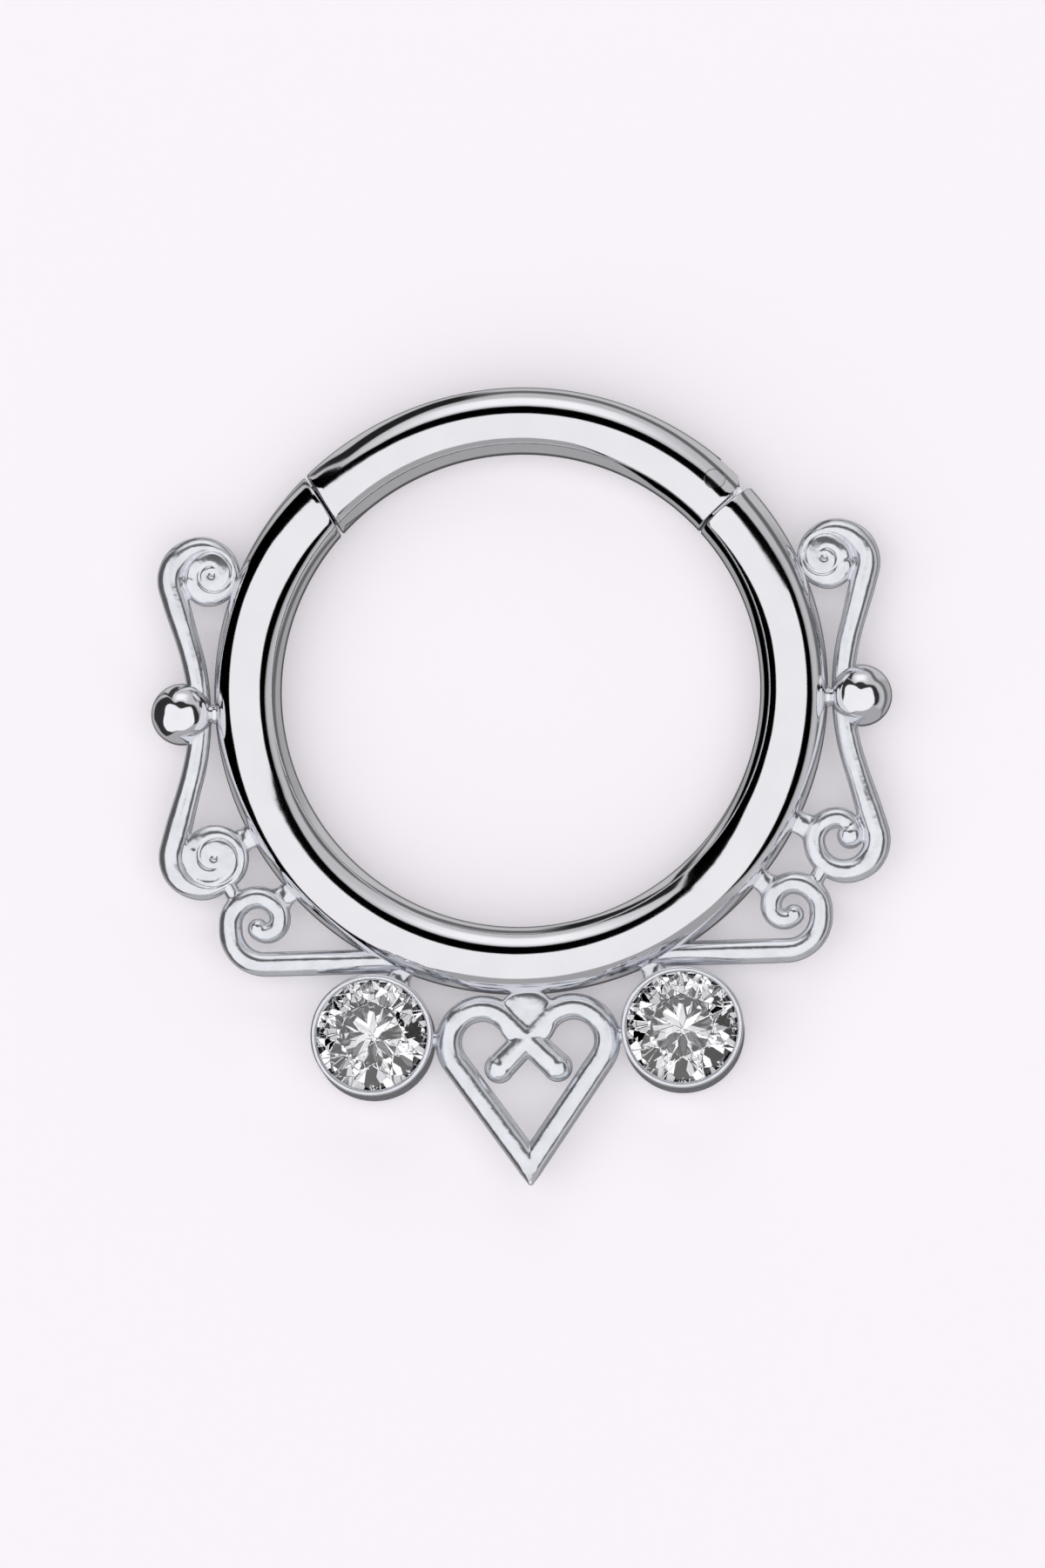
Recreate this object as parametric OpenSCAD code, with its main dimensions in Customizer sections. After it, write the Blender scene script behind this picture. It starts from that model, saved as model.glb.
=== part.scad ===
// Hinged septum ring, drawn closed and lying on its side.
// The ring's axis is Z. Its wire rests on the plane Z = 0, and the heart's point looks along -Y.
// Seen from above, +X is to the right, with the hinge at the upper right and the latch at the upper left.

/* [Band] */
// Thickness of the round band wire (16 gauge)
wire_d = 1.2; // [1.15:0.05:1.25]
// Inside diameter of the closed ring
inside_d = 8.5; // [8.45:0.05:8.6]

/* [Hinged segment] */
// Where the hinge seam crosses the band, in degrees from +X
hinge_angle = 40.6; // [38:0.2:43]
// Where the latch seam crosses the band, in degrees from +X
latch_angle = 135.2; // [133:0.2:138]
// Lean of the latch seam away from the radial direction, in degrees
latch_lean = 14; // [10:1:18]
// Width of the two seams
seam_gap = 0.05; // [0.04:0.01:0.07]
// How far the rounded nub stands out of the segment's free end
nub_h = 0.25; // [0.2:0.01:0.28]
// Diameter of the nub where it leaves the end face
nub_d = 0.84; // [0.76:0.02:0.86]

/* [Hinge] */
// Radius of the knuckle round the pin
knuckle_r = 0.42; // [0.4:0.01:0.45]
// Thickness of the tongue that the ring carries
tongue_t = 0.4; // [0.34:0.02:0.44]
// Running gap on each side of the tongue
tongue_gap = 0.03; // [0.03:0.01:0.05]
// Diameter of the hinge pin
pin_d = 0.36; // [0.3:0.02:0.4]

/* [Side scrolls] */
// Thickness of the scroll wire along its straight run
scroll_d = 0.43; // [0.4:0.01:0.44]
// Height of the waist between the two side scrolls, where the bead sits
waist_y = -0.28; // [-0.34:0.02:-0.22]
// Straight run of an upper side scroll
upper_run = 1.1; // [1:0.05:1.2]
// Straight run of a lower side scroll
lower_run = 1.25; // [1.2:0.05:1.3]
// Diameter of the polished beads
bead_d = 1.1; // [1:0.02:1.12]

/* [Corner scrolls] */
// Height of the straight bar below the band
bar_y = -4.79; // [-4.84:0.01:-4.76]
// Where the bar ends and its curl begins
bar_end_x = 4.6; // [4.55:0.01:4.65]

/* [Stones] */
// Girdle diameter of a cut stone
stone_d = 2; // [1.9:0.05:2]
// Wall of the cup outside the stone's girdle
cup_wall = 0.08; // [0.07:0.01:0.1]
// Sideways place of each stone
stone_x = 2.73; // [2.72:0.01:2.76]
// Lengthways place of the stones
stone_y = -6.14; // [-6.16:0.01:-6.12]

/* [Heart] */
// Thickness of the heart's wire
heart_d = 0.43; // [0.4:0.01:0.44]
// Bend radius of a lobe, at the middle of the wire
lobe_r = 0.6; // [0.58:0.01:0.61]
// Sideways place of a lobe's centre
lobe_x = 0.8; // [0.79:0.01:0.82]
// Lengthways place of the lobes' centres
lobe_y = -6.3; // [-6.32:0.01:-6.28]
// Lean of the straight sides from the middle line, in degrees
heart_lean = 35; // [33:0.5:37]

/* [Hidden] */

$fn = 48;
steel = "lightsteelblue";
bright_steel = "gainsboro";

wire_r = wire_d / 2;
band_r = inside_d / 2 + wire_r;
band_edge = band_r + wire_r;
mid_z = wire_r;

// The pin stands one knuckle radius inside the band's outer edge and as far back from the hinge seam.
hinge_out = [cos(hinge_angle), sin(hinge_angle)];
hinge_along = [-sin(hinge_angle), cos(hinge_angle)];
pin_at = (band_edge - knuckle_r) * hinge_out + knuckle_r * hinge_along;
slot_t = tongue_t + 2 * tongue_gap;
slot_r = knuckle_r + 0.04;
// The tongue's rounded edge lies this far inside the wire's surface
tongue_inset = 0.02;
pin_r = pin_d / 2;
tongue_bore_r = pin_r + 0.02;
// The tongue's neck rises this far over the pin, so that it clears the slot's end when the ring is open
neck_rise = 0.6 * knuckle_r;
ear_bore_r = pin_r + 0.01;

// The latch face is a plane through the wire's middle, leaning from the radial direction.
latch_at = band_r * [cos(latch_angle), sin(latch_angle)];
latch_turn = latch_angle - latch_lean;
nub_ball_r = (pow(nub_d / 2, 2) + pow(nub_h, 2)) / (2 * nub_h);
nub_sink = nub_ball_r - nub_h;
nub_play = 0.045;
// Turns of the segment, in degrees, over which the nub leaves its socket
nub_exit_turns = [0 : 1 : 4];

// Wire paths: each row is one stretch of a bent wire
BEND = 0;   // column: bend radius, positive to the left, negative to the right, 0 for straight
TURN = 1;   // column: angle of the bend in degrees, or length of a straight stretch
WIRE = 2;   // column: radius of the wire

// How far the thinner of two joined stretches runs on inside the thicker one
joint_lap = 0.03;

scroll_r = scroll_d / 2;
waist_bend = 4.37;
waist_turn = 16;
waist_x = band_edge + 0.26;
// Each strand begins a little off the waist, inside the bead that joins the pair
strand_start = 0.03;
// The run of a side scroll is filed a little thinner than the bends at its ends
run_r = scroll_r - 0.012;
strand = [-waist_bend, waist_turn, scroll_r];
side_curl = [
    [0.565, 90 + waist_turn, scroll_r],
    [0.44, 90, 0.195],
    [0.37, 90, 0.175],
    [0.24, 90, 0.155],
];
corner_curl = [
    [0.62, 90, run_r],
    [0, 0.1, 0.19],
    [0.48, 90, 0.2],
    [0.4, 90, 0.18],
    [0.24, 90, 0.16],
    [0.17, 60, 0.14],
];
// Radii of the balls that the side curls and the corner curls end in
side_end_r = 0.165;
corner_end_r = 0.15;
// Where a corner scroll's bar starts, inside the band
bar_start_x = 2;
bead_r = bead_d / 2;
// The beads stand this far off the band, on a bridge of solder
bead_gap = 0.03;
bead_x = band_edge + bead_r + bead_gap;

// Solder bridges of one side that start inside the band
ANGLE = 0;    // column: where on the band the bridge starts, in degrees from +X
PLACE = 1;    // column: where it ends
BRIDGE = 2;   // column: radius of the bridge
solder_depth = 0.25;
band_solder = [
    [24.6, [5.17, waist_y + 2.545], 0.13],
    [-30, [5.17, waist_y - 2.69], 0.13],
    [-42.5, [4.33, -3.99], 0.13],
    [-66.2, 5.8 * [cos(-66.2), sin(-66.2)], 0.25],
];
bead_solder_r = 0.16;
// From the lower side curl to the corner curl, from the heart to a cup, and from the band to the heart
curl_solder = [[5.27, -3.33], [5.05, -3.72]];
cup_solder = [[1.4, -6.2], [1.76, -6.2]];
heart_solder = [[0.6, -5.2], [0.6, -5.75]];
small_solder_r = 0.13;

girdle_r = stone_d / 2;
girdle_z = 0.93;
cup_r = girdle_r + cup_wall;
// Heights of the cup's foot, its seat, the underside of its lip and its rim
cup_z = 0.1;
seat_z = girdle_z - 0.045;
lip_z = girdle_z + 0.065;
rim_z = girdle_z + 0.12;
// Radii of the cup's bore, of the room round the girdle and of the lip
cup_bore_r = 0.84 * girdle_r;
girdle_room_r = girdle_r + 0.012;
lip_r = girdle_r - 0.025;
seat_slope = 0.82;

// Proportions of a brilliant: radii as shares of the girdle's, heights in millimetres
table_share = 0.56;
star_share = 0.8;
lower_share = 0.22;
crown_h = 0.31;
pavilion_h = 0.8;
half_girdle = 0.02;

heart_r = heart_d / 2;
// Difference in thickness between the heart's joined or crossing stretches
heart_step = 0.015;
// Straight end of each half, past the lobe, and the ball on it
heart_arm = 1.32;
heart_end_r = 0.23;
// A straight side runs from the heart's lower point up to its lobe
heart_run = (lobe_x + lobe_r * cos(heart_lean)) / sin(heart_lean);
heart_tip_y = lobe_y - lobe_r * sin(heart_lean) - heart_run * cos(heart_lean);
// Outline of the heart's lower point: [radius, distance past the crossing of the two sides]
tip_outline = [[0, -0.06], [0.24, -0.06], [0.205, 0.13], [0.05, 0.36], [0, 0.36]];

// The band is drawn this much past each seam, in degrees, and then cut
overrun = 8;
// Larger than the wire, for the blocks that cut it
block = 2;

// Where the wire is after one stretch: [place, heading in degrees]
function after(place, heading, row) =
    row[BEND] == 0
    ? [place + row[TURN] * [cos(heading), sin(heading)], heading]
    : let (side = sign(row[BEND]), r = abs(row[BEND]),
           centre = place + r * side * [-sin(heading), cos(heading)],
           next = heading + side * row[TURN])
      [centre - r * side * [-sin(next), cos(next)], next];

// One stretch of wire, from a place and a heading, drawn out by a lap at its start and at its end
module stretch(place, heading, row, lap_in, lap_out) {
    side = sign(row[BEND]);
    r = abs(row[BEND]);
    straight = row[BEND] == 0;
    turn_in = straight ? 0 : lap_in / r * 180 / PI;
    turn_out = straight ? 0 : lap_out / r * 180 / PI;
    sweep = turn_in + row[TURN] + turn_out;
    translate([place.x, place.y, mid_z])
        if (straight)
            rotate([0, 0, heading]) rotate([0, 90, 0])
                translate([0, 0, -lap_in]) cylinder(h = lap_in + row[TURN] + lap_out, r = row[WIRE]);
        else
            translate([-r * side * sin(heading), r * side * cos(heading), 0])
                rotate([0, 0, heading - side * (90 + turn_in) - (side < 0 ? sweep : 0)])
                    rotate_extrude(angle = sweep) translate([r, 0]) circle(r = row[WIRE]);
}

// A ball of the given radius at the wire's height
module ball(place, r) {
    translate([place.x, place.y, mid_z]) sphere(r = r);
}

// A bent wire that follows the rows one after another and ends in a ball. Neighbours differ in
// thickness, and the thinner one laps into the thicker one.
module bent_wire(place, heading, rows, end_r, i = 0) {
    wire = rows[i][WIRE];
    joins_last = i > 0 && wire < rows[max(i - 1, 0)][WIRE];
    joins_next = i + 1 < len(rows) && wire < rows[min(i + 1, len(rows) - 1)][WIRE];
    stretch(place, heading, rows[i], joins_last ? joint_lap : 0, joins_next ? joint_lap : 0);
    next = after(place, heading, rows[i]);
    if (i + 1 < len(rows))
        bent_wire(next[0], next[1], rows, end_r, i + 1);
    else
        ball(next[0], end_r);
}

// A short round bridge of solder between two places
module solder(from, to, r) {
    run = to - from;
    translate([from.x, from.y, mid_z])
        rotate([0, 0, atan2(run.y, run.x)]) rotate([0, 90, 0]) cylinder(h = norm(run), r = r);
}

module both_sides() {
    children();
    mirror([1, 0, 0]) children();
}

// The round wire from one angle over a sweep, both in degrees
module band_wire(from, sweep, r = wire_r) {
    translate([0, 0, mid_z]) rotate([0, 0, from])
        rotate_extrude(angle = sweep) translate([band_r, 0]) circle(r = r);
}

// Puts its children in the hinge's own frame: X along the band towards the ring, Y outwards, Z up
module at_hinge() {
    translate([pin_at.x, pin_at.y, mid_z]) rotate([0, 0, hinge_angle - 90]) children();
}

// Puts its children on the latch face: X across the face towards the segment, Y up the face
module at_latch() {
    translate([latch_at.x, latch_at.y, mid_z]) rotate([0, 0, latch_turn - 90]) children();
}

// One side's pair of scrolls: they meet at the waist behind the bead
module side_scrolls() {
    upper = concat([strand, [0, upper_run, run_r]], side_curl);
    lower = concat([strand, [0, lower_run, run_r]], side_curl);
    start = [waist_x, strand_start];
    translate([0, waist_y, 0]) {
        bent_wire(start, 90, upper, side_end_r);
        mirror([0, 1, 0]) bent_wire(start, 90, lower, side_end_r);
    }
}

// One corner scroll: a straight bar out of the band and the curl at its end
module corner_scroll() {
    bent_wire([bar_start_x, bar_y], 0,
              concat([[0, bar_end_x - bar_start_x, scroll_r]], corner_curl), corner_end_r);
}

module bead() {
    translate([bead_x, waist_y, mid_z]) sphere(r = bead_r);
}

// The cup that holds a stone: a turned wall with a seat below the girdle and a thin lip above it
module stone_cup() {
    seat_foot_z = seat_z - seat_slope * (girdle_room_r - cup_bore_r);
    translate([stone_x, stone_y, 0])
        rotate_extrude() polygon([
            [cup_bore_r, cup_z], [cup_r, cup_z], [cup_r, rim_z], [lip_r, rim_z],
            [lip_r, lip_z], [girdle_room_r, lip_z], [girdle_room_r, seat_z],
            [cup_bore_r, seat_foot_z]]);
}

// Solder bridges of one side, from the band to the bead, each scroll and the cup, and between neighbours
module side_solder() {
    inside_r = band_edge - solder_depth;
    solder([inside_r, waist_y], [bead_x, waist_y], bead_solder_r);
    for (row = band_solder)
        solder(inside_r * [cos(row[ANGLE]), sin(row[ANGLE])], row[PLACE], row[BRIDGE]);
    solder(curl_solder[0], curl_solder[1], small_solder_r);
    solder(cup_solder[0], cup_solder[1], small_solder_r);
}

// One half of the heart, from its lower point over the lobe to the end past the middle line
module half_heart(end_wire_r) {
    bent_wire([0, heart_tip_y], 90 + heart_lean,
              [[0, heart_run, heart_r],
               [-lobe_r, 135 + heart_lean, heart_r - heart_step],
               [0, heart_arm, end_wire_r]],
              heart_end_r);
}

// The heart's lower point, turned about the middle line: it covers the ends of the two straight sides
module heart_tip() {
    translate([0, heart_tip_y, mid_z]) rotate([90, 0, 0]) rotate_extrude() polygon(tip_outline);
}

module heart() {
    half_heart(heart_r);
    mirror([1, 0, 0]) half_heart(heart_r - 2 * heart_step);
    heart_tip();
    both_sides() solder(heart_solder[0], heart_solder[1], small_solder_r);
}

// The half of the hinge that the ring carries: a flat tongue with a round end
module tongue() {
    root = seam_gap + 0.3;
    intersection() {
        band_wire(hinge_angle - overrun, 3 * overrun, wire_r - tongue_inset);
        at_hinge() difference() {
            translate([0, 0, -tongue_t / 2]) union() {
                cylinder(h = tongue_t, r = knuckle_r);
                translate([0, -knuckle_r, 0]) cube([knuckle_r + root, knuckle_r + neck_rise, tongue_t]);
            }
            cylinder(h = wire_d, r = tongue_bore_r, center = true);
        }
    }
}

// The hollow in the ring's free end that the nub turns into
module nub_socket() {
    for (turn = nub_exit_turns)
        translate([pin_at.x, pin_at.y, 0]) rotate([0, 0, -turn]) translate([-pin_at.x, -pin_at.y, 0])
            at_latch() translate([seam_gap / 2 + nub_sink, 0, 0]) sphere(r = nub_ball_r + nub_play);
}

module ring_band() {
    start = latch_angle - overrun;
    stop = 360 + hinge_angle - seam_gap / band_r * 180 / PI;
    difference() {
        band_wire(start, stop - start);
        at_latch() translate([-seam_gap / 2, -block / 2, -block / 2]) cube(block);
        nub_socket();
    }
    tongue();
}

module ring_frame() {
    color(steel) ring_band();
    color(bright_steel) {
        both_sides() {
            side_scrolls();
            corner_scroll();
            bead();
            stone_cup();
            side_solder();
        }
        heart();
    }
}

module hinged_segment() {
    color(steel) {
        difference() {
            band_wire(hinge_angle, latch_angle + overrun - hinge_angle);
            at_latch() translate([seam_gap / 2 - block, -block / 2, -block / 2]) cube(block);
            at_hinge() {
                difference() {
                    translate([0, 0, -block / 2]) cube(block);
                    cylinder(h = 2 * block, r = knuckle_r, center = true);
                }
                translate([0, 0, -slot_t / 2]) {
                    cylinder(h = slot_t, r = slot_r);
                    translate([0, -slot_r, 0]) cube([block, block, slot_t]);
                }
                cylinder(h = 2 * block, r = ear_bore_r, center = true);
            }
        }
        at_latch() translate([seam_gap / 2 + nub_sink, 0, 0]) sphere(r = nub_ball_r);
    }
}

module hinge_pin() {
    color("silver") intersection() {
        band_wire(hinge_angle - overrun, 3 * overrun);
        at_hinge() cylinder(h = 2 * block, r = pin_r, center = true);
    }
}

// A point of a stone at a radius, at an angle in degrees and at a height over the girdle's middle
function spot(r, angle, z) = [r * cos(angle), r * sin(angle), z];

// Eight points of a stone at one radius and height, starting at an angle
function eight(r, angle, z) = [for (i = [0:7]) spot(r, angle + 45 * i, z)];

// Sixteen points of a stone's girdle at one height
function sixteen(z) = [for (i = [0:15]) spot(girdle_r, 22.5 * i, z)];

// A round brilliant: a table, eight stars, eight kites and the girdle's facets above the pavilion
module brilliant() {
    table_r = table_share * girdle_r;
    star_r = star_share * girdle_r;
    lower_r = lower_share * girdle_r;
    half_step = cos(22.5);
    // Height of a kite's plane, and of a pavilion facet's plane, over a place between two corners
    star_z = half_girdle + crown_h * (girdle_r - star_r * half_step) / (girdle_r - table_r);
    lower_z = -half_girdle - pavilion_h * (1 - lower_r * half_step / girdle_r);
    points = concat(
        eight(table_r, 0, half_girdle + crown_h),
        eight(star_r, 22.5, star_z),
        sixteen(half_girdle),
        sixteen(-half_girdle),
        eight(lower_r, 22.5, lower_z),
        [[0, 0, -half_girdle - pavilion_h]]);
    // Where each ring of points starts in that list
    stars = 8;
    top = 16;
    bottom = 32;
    lower = 48;
    culet = 56;
    faces = concat(
        [[for (i = [7:-1:0]) i]],
        [for (i = [0:7]) [i, (i + 1) % 8, stars + i]],
        [for (i = [0:7]) [i, stars + i, top + 2 * i, stars + (i + 7) % 8]],
        [for (i = [0:7]) [stars + i, top + 2 * i + 1, top + 2 * i]],
        [for (i = [0:7]) [stars + i, top + (2 * i + 2) % 16, top + 2 * i + 1]],
        [for (i = [0:15]) [top + i, top + (i + 1) % 16, bottom + (i + 1) % 16, bottom + i]],
        [for (i = [0:7]) [bottom + 2 * i, bottom + 2 * i + 1, lower + i]],
        [for (i = [0:7]) [bottom + 2 * i + 1, bottom + (2 * i + 2) % 16, lower + i]],
        [for (i = [0:7]) [bottom + 2 * i, lower + i, culet, lower + (i + 7) % 8]]);
    polyhedron(points = points, faces = faces);
}

module stone_left() {
    color("white") translate([-stone_x, stone_y, girdle_z]) brilliant();
}

module stone_right() {
    color("white") translate([stone_x, stone_y, girdle_z]) brilliant();
}

ring_frame();
hinged_segment();
hinge_pin();
stone_left();
stone_right();
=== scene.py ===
"""Looks of a hinged septum ring: a round wire band that opens, cast scrolls, beads, set stones and a heart.

Shapes are worked out in millimetres in the part's own frame. A piece is turned into metres when finished.
"""

import logging
import math
from dataclasses import dataclass
from enum import Enum
from typing import Iterable, Sequence

import bmesh
import bpy
from mathutils import Matrix, Vector


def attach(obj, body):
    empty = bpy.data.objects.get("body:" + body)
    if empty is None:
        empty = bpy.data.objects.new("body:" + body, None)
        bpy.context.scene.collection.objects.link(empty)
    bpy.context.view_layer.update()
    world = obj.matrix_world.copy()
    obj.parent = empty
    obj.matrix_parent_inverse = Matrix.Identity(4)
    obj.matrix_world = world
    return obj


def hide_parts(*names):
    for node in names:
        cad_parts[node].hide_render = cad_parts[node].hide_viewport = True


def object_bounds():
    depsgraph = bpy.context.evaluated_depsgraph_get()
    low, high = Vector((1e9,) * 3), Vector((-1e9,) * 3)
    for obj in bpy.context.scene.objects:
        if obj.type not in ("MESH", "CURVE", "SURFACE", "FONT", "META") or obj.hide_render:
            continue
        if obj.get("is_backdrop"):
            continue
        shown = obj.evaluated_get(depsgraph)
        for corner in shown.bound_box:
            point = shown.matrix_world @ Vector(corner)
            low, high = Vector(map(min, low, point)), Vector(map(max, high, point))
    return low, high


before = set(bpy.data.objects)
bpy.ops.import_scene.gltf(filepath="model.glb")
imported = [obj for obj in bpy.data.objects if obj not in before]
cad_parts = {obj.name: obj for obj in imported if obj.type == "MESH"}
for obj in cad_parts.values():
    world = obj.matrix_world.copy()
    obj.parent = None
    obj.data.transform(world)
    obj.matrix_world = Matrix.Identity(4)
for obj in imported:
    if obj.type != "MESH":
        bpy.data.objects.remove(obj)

LOG = logging.getLogger("septum_ring")
MM = 0.001

Point = tuple[float, float]
Pair = tuple[float, float]
Colour = tuple[float, float, float]


class Body(Enum):
    """The part's moving bodies."""

    FRAME = "frame"
    SEGMENT = "segment"


class Slot(Enum):
    """The record's material slots."""

    BAND = "band_steel"
    CAST = "cast_steel"
    PIN = "pin_steel"
    STONE = "clear_stone"


class Side(Enum):
    """The two sides of the ring, as a factor on X."""

    LEFT = -1
    RIGHT = 1

    @property
    def word(self) -> str:
        """The side's name in the names of pieces."""
        return self.name.lower()


@dataclass(frozen=True)
class Span:
    """A stretch of a value with soft ends.

    Attributes:
        low: Where it starts.
        high: Where it ends.
        soft: Over how much of the value it fades at each end.
    """

    low: float
    high: float
    soft: float


class Term:
    """A shader value that Python's operators turn into Math nodes."""

    def __init__(self, kit: "NodeKit", socket: bpy.types.NodeSocket) -> None:
        """Wraps one output socket of a tree."""
        self.kit = kit
        self.socket = socket

    def __add__(self, other: "Term | float") -> "Term":
        """The sum."""
        return self.kit.math("ADD", self, other)

    __radd__ = __add__

    def __sub__(self, other: "Term | float") -> "Term":
        """The difference."""
        return self.kit.math("SUBTRACT", self, other)

    def __rsub__(self, other: "Term | float") -> "Term":
        """The difference from a number."""
        return self.kit.math("SUBTRACT", other, self)

    def __mul__(self, other: "Term | float") -> "Term":
        """The product."""
        return self.kit.math("MULTIPLY", self, other)

    __rmul__ = __mul__

    def above(self, edge: float, width: float) -> "Term":
        """A soft step.

        Args:
            edge: The value at which the step is half way.
            width: How wide the step is.

        Returns:
            0 below the edge and 1 above it.
        """
        ends = {"Value": self, "From Min": edge - width / 2, "From Max": edge + width / 2}
        return self.kit.term("ShaderNodeMapRange", {"interpolation_type": "SMOOTHSTEP"}, ends)

    def within(self, span: Span) -> "Term":
        """1 inside a span and 0 outside."""
        return self.above(span.low, span.soft) - self.above(span.high, span.soft)


class NodeKit:
    """Adds nodes to one tree."""

    # Sockets of a Mix node that mixes colours. They share their names with the node's other sockets
    MIX_FACTOR = 0
    MIX_LOW = 6
    MIX_HIGH = 7
    MIX_RESULT = 2

    def __init__(self, tree: bpy.types.NodeTree) -> None:
        """Starts on an empty tree."""
        self.tree = tree
        tree.nodes.clear()

    def node(self, kind: str, settings: dict | None = None, inputs: dict | None = None) -> bpy.types.Node:
        """Adds a node of any type.

        Args:
            kind: The node's type.
            settings: Its properties, and a ramp's stops as pairs of position and colour.
            inputs: Values, sockets or terms for its inputs, by name or number.

        Returns:
            The node.
        """
        node = self.tree.nodes.new(kind)
        for name, value in (settings or {}).items():
            if name == "stops":
                self._ramp(node.color_ramp, value)
            else:
                setattr(node, name, value)
        for key, value in (inputs or {}).items():
            if isinstance(value, Term):
                value = value.socket
            if isinstance(value, bpy.types.NodeSocket):
                self.tree.links.new(value, node.inputs[key])
            else:
                node.inputs[key].default_value = value
        return node

    def term(self, kind: str, settings: dict | None = None, inputs: dict | None = None,
             output: str | int = 0) -> Term:
        """Adds a node and wraps one of its outputs.

        Args:
            kind: The node's type.
            settings: Its properties.
            inputs: Its inputs.
            output: Which output, by name or number.

        Returns:
            The output as a term.
        """
        return Term(self, self.node(kind, settings, inputs).outputs[output])

    def math(self, operation: str, *values: Term | float) -> Term:
        """Adds one Math node on values or terms, in the order of its sockets."""
        return self.term("ShaderNodeMath", {"operation": operation}, dict(enumerate(values)))

    def noise(self, place: Term, scale: float, detail: float, rough: float = 0.5) -> Term:
        """Adds a noise.

        Args:
            place: The coordinates that it reads.
            scale: How many lumps it has for each unit of the coordinates.
            detail: How many finer layers it has.
            rough: How strong they are.

        Returns:
            The noise, from 0 to 1.
        """
        inputs = {"Vector": place, "Scale": scale, "Detail": detail, "Roughness": rough}
        return self.term("ShaderNodeTexNoise", None, inputs)

    def mixed(self, factor: Term, low: Colour, high: Colour) -> Term:
        """Mixes two colours.

        Args:
            factor: 0 for the first colour and 1 for the second.
            low: The first colour.
            high: The second colour.

        Returns:
            The colour between them.
        """
        inputs = {self.MIX_FACTOR: factor, self.MIX_LOW: (*low, 1), self.MIX_HIGH: (*high, 1)}
        return self.term("ShaderNodeMix", {"data_type": "RGBA"}, inputs, self.MIX_RESULT)

    def bump(self, height: Term, depth: float, strength: float = 1.0, under: Term | None = None) -> Term:
        """Turns a height into a normal.

        Args:
            height: The height, from 0 to 1.
            depth: How far 1 stands above 0, in millimetres.
            strength: How much of it shows.
            under: A normal that it is laid on.

        Returns:
            The normal.
        """
        inputs = {"Strength": strength, "Distance": depth * MM, "Height": height}
        if under is not None:
            inputs["Normal"] = under
        return self.term("ShaderNodeBump", None, inputs)

    @staticmethod
    def _ramp(ramp: bpy.types.ColorRamp, stops: Sequence[tuple[float, Colour]]) -> None:
        """Sets a colour ramp's stops.

        Args:
            ramp: The ramp.
            stops: Pairs of position and colour, in order.
        """
        while len(ramp.elements) < len(stops):
            ramp.elements.new(0.5)
        for element, (position, colour) in zip(ramp.elements, stops):
            element.position = position
            element.color = (*colour, 1.0)


@dataclass(frozen=True)
class Steel:
    """A steel finish: its colour, how much it is polished, and the marks that the maker left on it.

    Attributes:
        name: The material's name.
        colour: Its colour where it is bright.
        shade: Its colour where it is dull.
        rough: Its mean roughness.
        rough_spread: How far the roughness goes up and down over the surface.
        mark: Size of the fine polishing marks, in millimetres.
        mark_depth: How deep they are.
        wave: Size of the broad unevenness, in millimetres.
        wave_depth: How deep it is.
        metal: How metallic it looks, a little under 1 on a skin that was left as cast.
    """

    name: str
    colour: Colour
    shade: Colour
    rough: float
    rough_spread: float
    mark: float
    mark_depth: float
    wave: float
    wave_depth: float
    metal: float = 1.0

    # Finer layers in the marks and in the unevenness, and how strong they are
    MARK_DETAIL = 3.0
    WAVE_DETAIL = 2.0
    LAYER_STRENGTH = 0.55
    # The middle of a noise, how softly the tone changes there, and the unevenness's share of the tone
    MIDDLE = 0.5
    TONE_SOFT = 0.5
    WAVE_SHARE = 0.6

    def material(self) -> bpy.types.Material:
        """Builds the finish.

        Returns:
            A material that reads Object coordinates.
        """
        made = bpy.data.materials.new(self.name)
        made.use_nodes = True
        kit = NodeKit(made.node_tree)
        place = kit.term("ShaderNodeTexCoord", output="Object")
        fine = kit.noise(place, 1.0 / (self.mark * MM), self.MARK_DETAIL, self.LAYER_STRENGTH)
        broad = kit.noise(place, 1.0 / (self.wave * MM), self.WAVE_DETAIL, self.LAYER_STRENGTH)
        patches = broad.above(self.MIDDLE, self.TONE_SOFT)
        bright = patches * self.WAVE_SHARE + fine * (1 - self.WAVE_SHARE)
        waved = kit.bump(broad, self.wave_depth)
        shader = kit.node("ShaderNodeBsdfPrincipled", None, {
            "Base Color": kit.mixed(bright, self.shade, self.colour),
            "Metallic": self.metal,
            "Roughness": self.rough + self.rough_spread * (fine - self.MIDDLE),
            "Normal": kit.bump(fine, self.mark_depth, under=waved),
        })
        kit.node("ShaderNodeOutputMaterial", None, {"Surface": shader.outputs[0]})
        return made


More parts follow.
